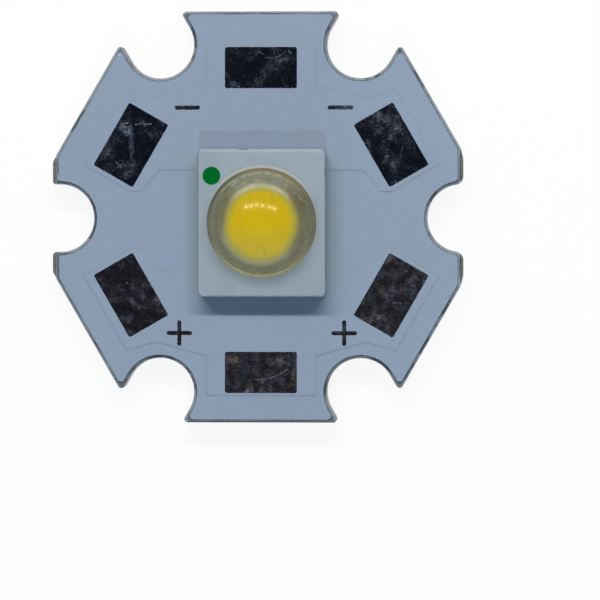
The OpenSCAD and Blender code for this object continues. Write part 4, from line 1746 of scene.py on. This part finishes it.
@dataclass
class LightSource:
    """The film, the chip with its wires, and the phosphor in its ring."""

    patterns: Patterns
    film: Finish = Film()
    phosphor: Gel = Gel("phosphor_yellow")
    dam: Gel = Gel("dam_silicone")
    bond: Finish = PlainMetal("chip_bond", (196, 198, 200), (160, 162, 164))
    chip: Finish = PlainMetal(
        "chip_crystal", (92, 120, 168), (70, 96, 146), smooth=0.1, rough=0.2, metallic=0.2
    )
    wire: Finish = PlainMetal("wire_gold", (232, 196, 104), (206, 168, 84), smooth=0.15, rough=0.3)
    base: float = 2.94
    sunk: float = 0.002
    gel_h: float = 0.32
    gel_r: float = 1.95
    fill_r: float = 1.36
    ring_r: float = 1.2
    lap: float = 0.003
    lip: float = 0.002
    foot_w: float = 0.03
    turns: int = 160

    def build(self, frame: Frame) -> None:
        """Dresses what lies under the dome.

        Args:
            frame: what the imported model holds.
        """
        film = self.film.material(self.patterns)
        dress(frame, ["film_minus", "film_plus", "chip_film"], film)
        dress(frame, ["chip_bond"], self.bond.material(self.patterns))
        dress(frame, ["led_chip"], self.chip.material(self.patterns))
        dress(frame, ["bond_wires"], self.wire.material(self.patterns))
        self.pour()

    def mound(self, radius: np.ndarray, lap: float = 0.0) -> np.ndarray:
        """The gel's top, which lies gel_h (1 - (r / gel_r)^2)^1.5 over the film.

        Args:
            radius: distances from the emitter's middle.
            lap: how much higher the top is made.

        Returns:
            Rows of radius and height.
        """
        bulge = self.gel_h * np.clip(1 - (radius / self.gel_r) ** 2, 0, 1) ** 1.5
        return np.stack([radius, self.base + bulge + lap], axis=-1)

    def pour(self) -> None:
        """Builds the phosphor and the ring round it, whose tops make one low mound.

        The phosphor's top is the mound out to fill_r, and the ring's top is the mound from
        under the phosphor out to where the mound meets the film.
        """
        low = self.base - self.sunk
        inner = np.linspace(self.fill_r - self.lip, 0, 60)
        fill = np.vstack(
            [
                [[0, low], [self.fill_r * 0.5, low], [self.fill_r, low]],
                self.mound(np.concatenate([[self.fill_r], inner]), self.lap),
            ]
        )
        self.set_down("gel_phosphor", *revolve(fill, self.turns), self.phosphor, "phosphor")
        inner = np.linspace(self.gel_r - self.foot_w, self.ring_r, 30)
        skirt = np.vstack(
            [
                [[self.ring_r, low], [self.gel_r, low]],
                self.mound(np.concatenate([[self.gel_r, self.gel_r - self.lip], inner])),
            ]
        )
        self.set_down("gel_ring", *turn_ring(skirt, self.turns), self.dam, "dam_ring")

    def set_down(
        self, name: str, points: np.ndarray, faces: Faces, finish: Gel, node: str
    ) -> None:
        """Makes one gel piece at the emitter's middle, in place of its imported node.

        Args:
            name: the piece's name.
            points: its points about the emitter's middle.
            faces: its faces.
            finish: what it is made of, named as its slot.
            node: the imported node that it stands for.
        """
        points = points + np.array([*EMITTER, 0.0])
        stand_in(name, points, faces, finish.material(self.patterns), node)


@dataclass
class Dome:
    """The clear dome with its flange, moulded straight onto what it covers."""

    patterns: Patterns
    finish: Finish = ClearSilicone()
    base: float = 2.92
    flange_d: float = 5.3
    flange_t: float = 0.12
    dome_d: float = 5.02
    dome_h: float = 2.35
    edge_r: float = 0.04
    fillet_r: float = 0.05
    sunk: float = 0.002
    turns: int = 192

    def profile(self) -> np.ndarray:
        """Radius and height from the pole below to the pole above.

        The flange's edge is a quarter circle of edge_r. The dome is an arc whose ball has the
        radius (a^2 + h^2) / 2h for the half width a and the height h, and a short fillet, the
        curve (1 - t)^2 A + 2 t (1 - t) B + t^2 C, leads from the flange at A, by the corner B,
        into the arc's start C.

        Returns:
            Rows of radius and height.
        """
        half, high = self.dome_d / 2, self.dome_h
        ball = (half**2 + high**2) / (2 * high)
        rim, top, low = self.flange_d / 2, self.flange_t, -self.sunk
        centre = top + high - ball
        bend = np.linspace(0, math.pi / 2, 7)
        quarter = np.stack([np.cos(bend) - 1, np.sin(bend) - 1], axis=-1)
        edge = np.array([rim, top]) + self.edge_r * quarter
        start = math.asin(min(1.0, (top + self.fillet_r - centre) / ball))
        lift = np.linspace(start, math.pi / 2, 72)[:-1]
        arc = np.stack([ball * np.cos(lift), centre + ball * np.sin(lift)], axis=-1)
        share = np.linspace(0, 1, 6)[:-1, None]
        corner = np.array([arc[0, 0], top])
        foot = corner + np.array([self.fillet_r, 0])
        fillet = (1 - share) ** 2 * foot + 2 * share * (1 - share) * corner + share**2 * arc[0]
        under = [[0, low], [rim * 0.5, low], [rim - 0.01, low], [rim, low]]
        return np.vstack([under, edge, fillet, arc, [[0, centre + ball]]])

    def build(self, frame: Frame) -> None:
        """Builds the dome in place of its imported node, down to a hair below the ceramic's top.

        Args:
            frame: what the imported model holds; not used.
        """
        points, faces = revolve(self.profile(), self.turns)
        points = points + np.array([*EMITTER, self.base])
        material = self.finish.material(self.patterns)
        stand_in("dome", points, faces, material, "dome_lens")


@dataclass
class Studio:
    """The floor, the lamps, the world and the camera.

    Six small lamps stand in a row in a long soft one, and a weaker one hangs opposite.
    """

    pixels: float = 600.0
    scale: float = 20.6
    board_px: tuple[float, float] = (257.15, 216.93)
    tilt: float = 2.8
    distance: float = 200.0
    aim_z: float = 1.7
    sensor: float = 36.0
    clip: tuple[float, float] = (0.005, 20.0)
    floor_half: float = 1500.0
    floor_z: float = -0.02
    floor_glow: float = 0.9
    lamp_h: float = 300.0
    lamps_at: tuple[tuple[float, float], ...] = (
        (-228.0, 245.0),
        (-138.0, 248.0),
        (-54.0, 254.0),
        (28.0, 238.0),
        (124.0, 224.0),
        (208.0, 214.0),
    )
    lamp_size: float = 8.0
    soft_at: tuple[float, float, float] = (-10.0, 237.0, 300.0)
    soft_size: tuple[float, float] = (436.0, 30.0)
    soft_share: float = 1.22
    key: Colour = (0.703, 0.669, 0.644)
    fill: Colour = (0.11, 0.14, 0.175)
    fill_at: tuple[float, float, float] = (0.0, -320.0, 400.0)
    fill_size: float = 50.0
    zenith: Colour = (0.03, 0.035, 0.05)
    ambient: float = 0.34

    def build(self, frame: Frame) -> None:
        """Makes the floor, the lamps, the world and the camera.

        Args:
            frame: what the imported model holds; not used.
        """
        self.floor()
        self.lamps()
        self.world()
        self.camera()
        log.info("studio: %d lamps", len(self.lamps_at) + 2)

    def floor(self) -> None:
        """Lays a pale floor that shows nearly white and keeps a faint shadow of the object."""
        half, low = self.floor_half, self.floor_z
        corners = np.array(
            [[-half, -half, low], [half, -half, low], [half, half, low], [-half, half, low]]
        )
        mesh = bpy.data.meshes.new("floor")
        mesh.from_pydata((corners * MM).tolist(), [], [(0, 1, 2, 3)])
        surface = Surface("floor_paper", Roughness=0.9, Specular_IOR_Level=0.1)
        surface.set("Base Color", ink(250, 250, 250))
        glow = surface.graph.add("ShaderNodeEmission")
        glow.inputs["Strength"].default_value = 1.0
        surface.blend(surface.graph.times(surface.graph.seen(), self.floor_glow), glow.outputs[0])
        mesh.materials.append(surface.material)
        floor = bpy.data.objects.new("floor", mesh)
        bpy.context.scene.collection.objects.link(floor)

    def lamp(
        self,
        name: str,
        at: Sequence[float],
        share: float,
        tint: Colour,
        size: tuple[float, float],
        mirrored: bool = False,
    ) -> None:
        """Hangs one lamp that points at the board.

        The board gets share times pi from it: the power is share pi^2 d^2 / cos a, for the
        distance d and the angle a off the vertical.

        Args:
            name: the lamp's name.
            at: its place in millimetres.
            share: the part of a plain level that it gives on the board.
            tint: its colour.
            size: its width and depth in millimetres.
            mirrored: whether it is for shiny surfaces, such as the dome that shows it as a bright
                dot, or else for matt ones.
        """
        place = np.array(at) * MM
        far = float(np.linalg.norm(place))
        lamp = bpy.data.lights.new(name, "AREA")
        lamp.shape = "ELLIPSE" if mirrored else "RECTANGLE"
        lamp.size, lamp.size_y = size[0] * MM, size[1] * MM
        lamp.color = tint
        lamp.energy = share * math.pi**2 * far**2 / (float(place[2]) / far)
        holder = bpy.data.objects.new(name, lamp)
        holder.location = place.tolist()
        lean = math.atan2(place[1], math.hypot(place[0], place[2]))
        holder.rotation_euler = (-lean, math.atan2(place[0], place[2]), 0.0)
        holder.visible_glossy = mirrored
        holder.visible_transmission = mirrored
        holder.visible_diffuse = not mirrored
        bpy.context.scene.collection.objects.link(holder)

    def lamps(self) -> None:
        """Hangs the row of six, the long lamp that they stand in, and the weaker lamp opposite."""
        small, share = (self.lamp_size, self.lamp_size), 1 / len(self.lamps_at)
        for number, (x, y) in enumerate(self.lamps_at, 1):
            at = (x, y, self.lamp_h)
            self.lamp(f"key_{number}", at, share, self.key, small, mirrored=True)
        self.lamp("soft", self.soft_at, self.soft_share, self.key, self.soft_size)
        self.lamp("fill", self.fill_at, 1.0, self.fill, (self.fill_size, self.fill_size))

    def world(self) -> None:
        """Makes a world that is pale at the horizon and dark overhead, as under a camera.

        The direction's height z gives the colour: the zenith's above 0.78 and the pale one
        below 0.6. A camera, mirror or glass sees white at the horizon.
        """
        world = bpy.data.worlds.new("studio")
        world.use_nodes = True
        graph = Graph(world.node_tree)
        _, _, z = graph.split(graph.coordinates("Generated"))
        white = graph.times(graph.seen(), graph.step(z, 0.45, 0.1))
        horizon = graph.mix(white, (*(self.ambient,) * 3, 1), (1, 1, 1, 1))
        colour = graph.mix(graph.step(z, 0.6, 0.78), horizon, (*self.zenith, 1))
        graph.feed(world.node_tree.nodes["Background"].inputs["Color"], colour)
        bpy.context.scene.world = world

    def camera(self) -> None:
        """Sets the camera over the board, leaning to the right, framed as the photograph.

        The lens maps scale pixels to a millimetre at the board's face, and the shift moves the
        board's middle from the frame's middle to its place in the photograph.
        """
        lens = bpy.data.cameras.new("camera")
        lens.sensor_fit = "HORIZONTAL"
        lens.sensor_width = self.sensor
        lens.lens = self.sensor * self.distance * self.scale / self.pixels
        lens.shift_x = (self.pixels / 2 - self.board_px[0]) / self.pixels
        lens.shift_y = -(self.pixels / 2 - self.board_px[1]) / self.pixels
        lens.clip_start, lens.clip_end = self.clip
        holder = bpy.data.objects.new("camera", lens)
        lean = math.radians(self.tilt)
        to_right = self.distance * math.sin(lean)
        up = self.aim_z + self.distance * math.cos(lean)
        holder.location = (to_right * MM, 0.0, up * MM)
        holder.rotation_euler = (0.0, lean, 0.0)
        bpy.context.scene.collection.objects.link(holder)
        bpy.context.scene.camera = holder
        bpy.context.scene.view_settings.view_transform = "Standard"


def main() -> None:
    """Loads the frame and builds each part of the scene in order."""
    logging.basicConfig(level=logging.INFO, format="%(message)s")
    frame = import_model()
    patterns = Patterns()
    for part in (
        Board(patterns),
        Tinning(patterns),
        Package(patterns),
        LightSource(patterns),
        Dome(patterns),
        Studio(),
    ):
        part.build(frame)


if __name__ == "__main__":
    main()
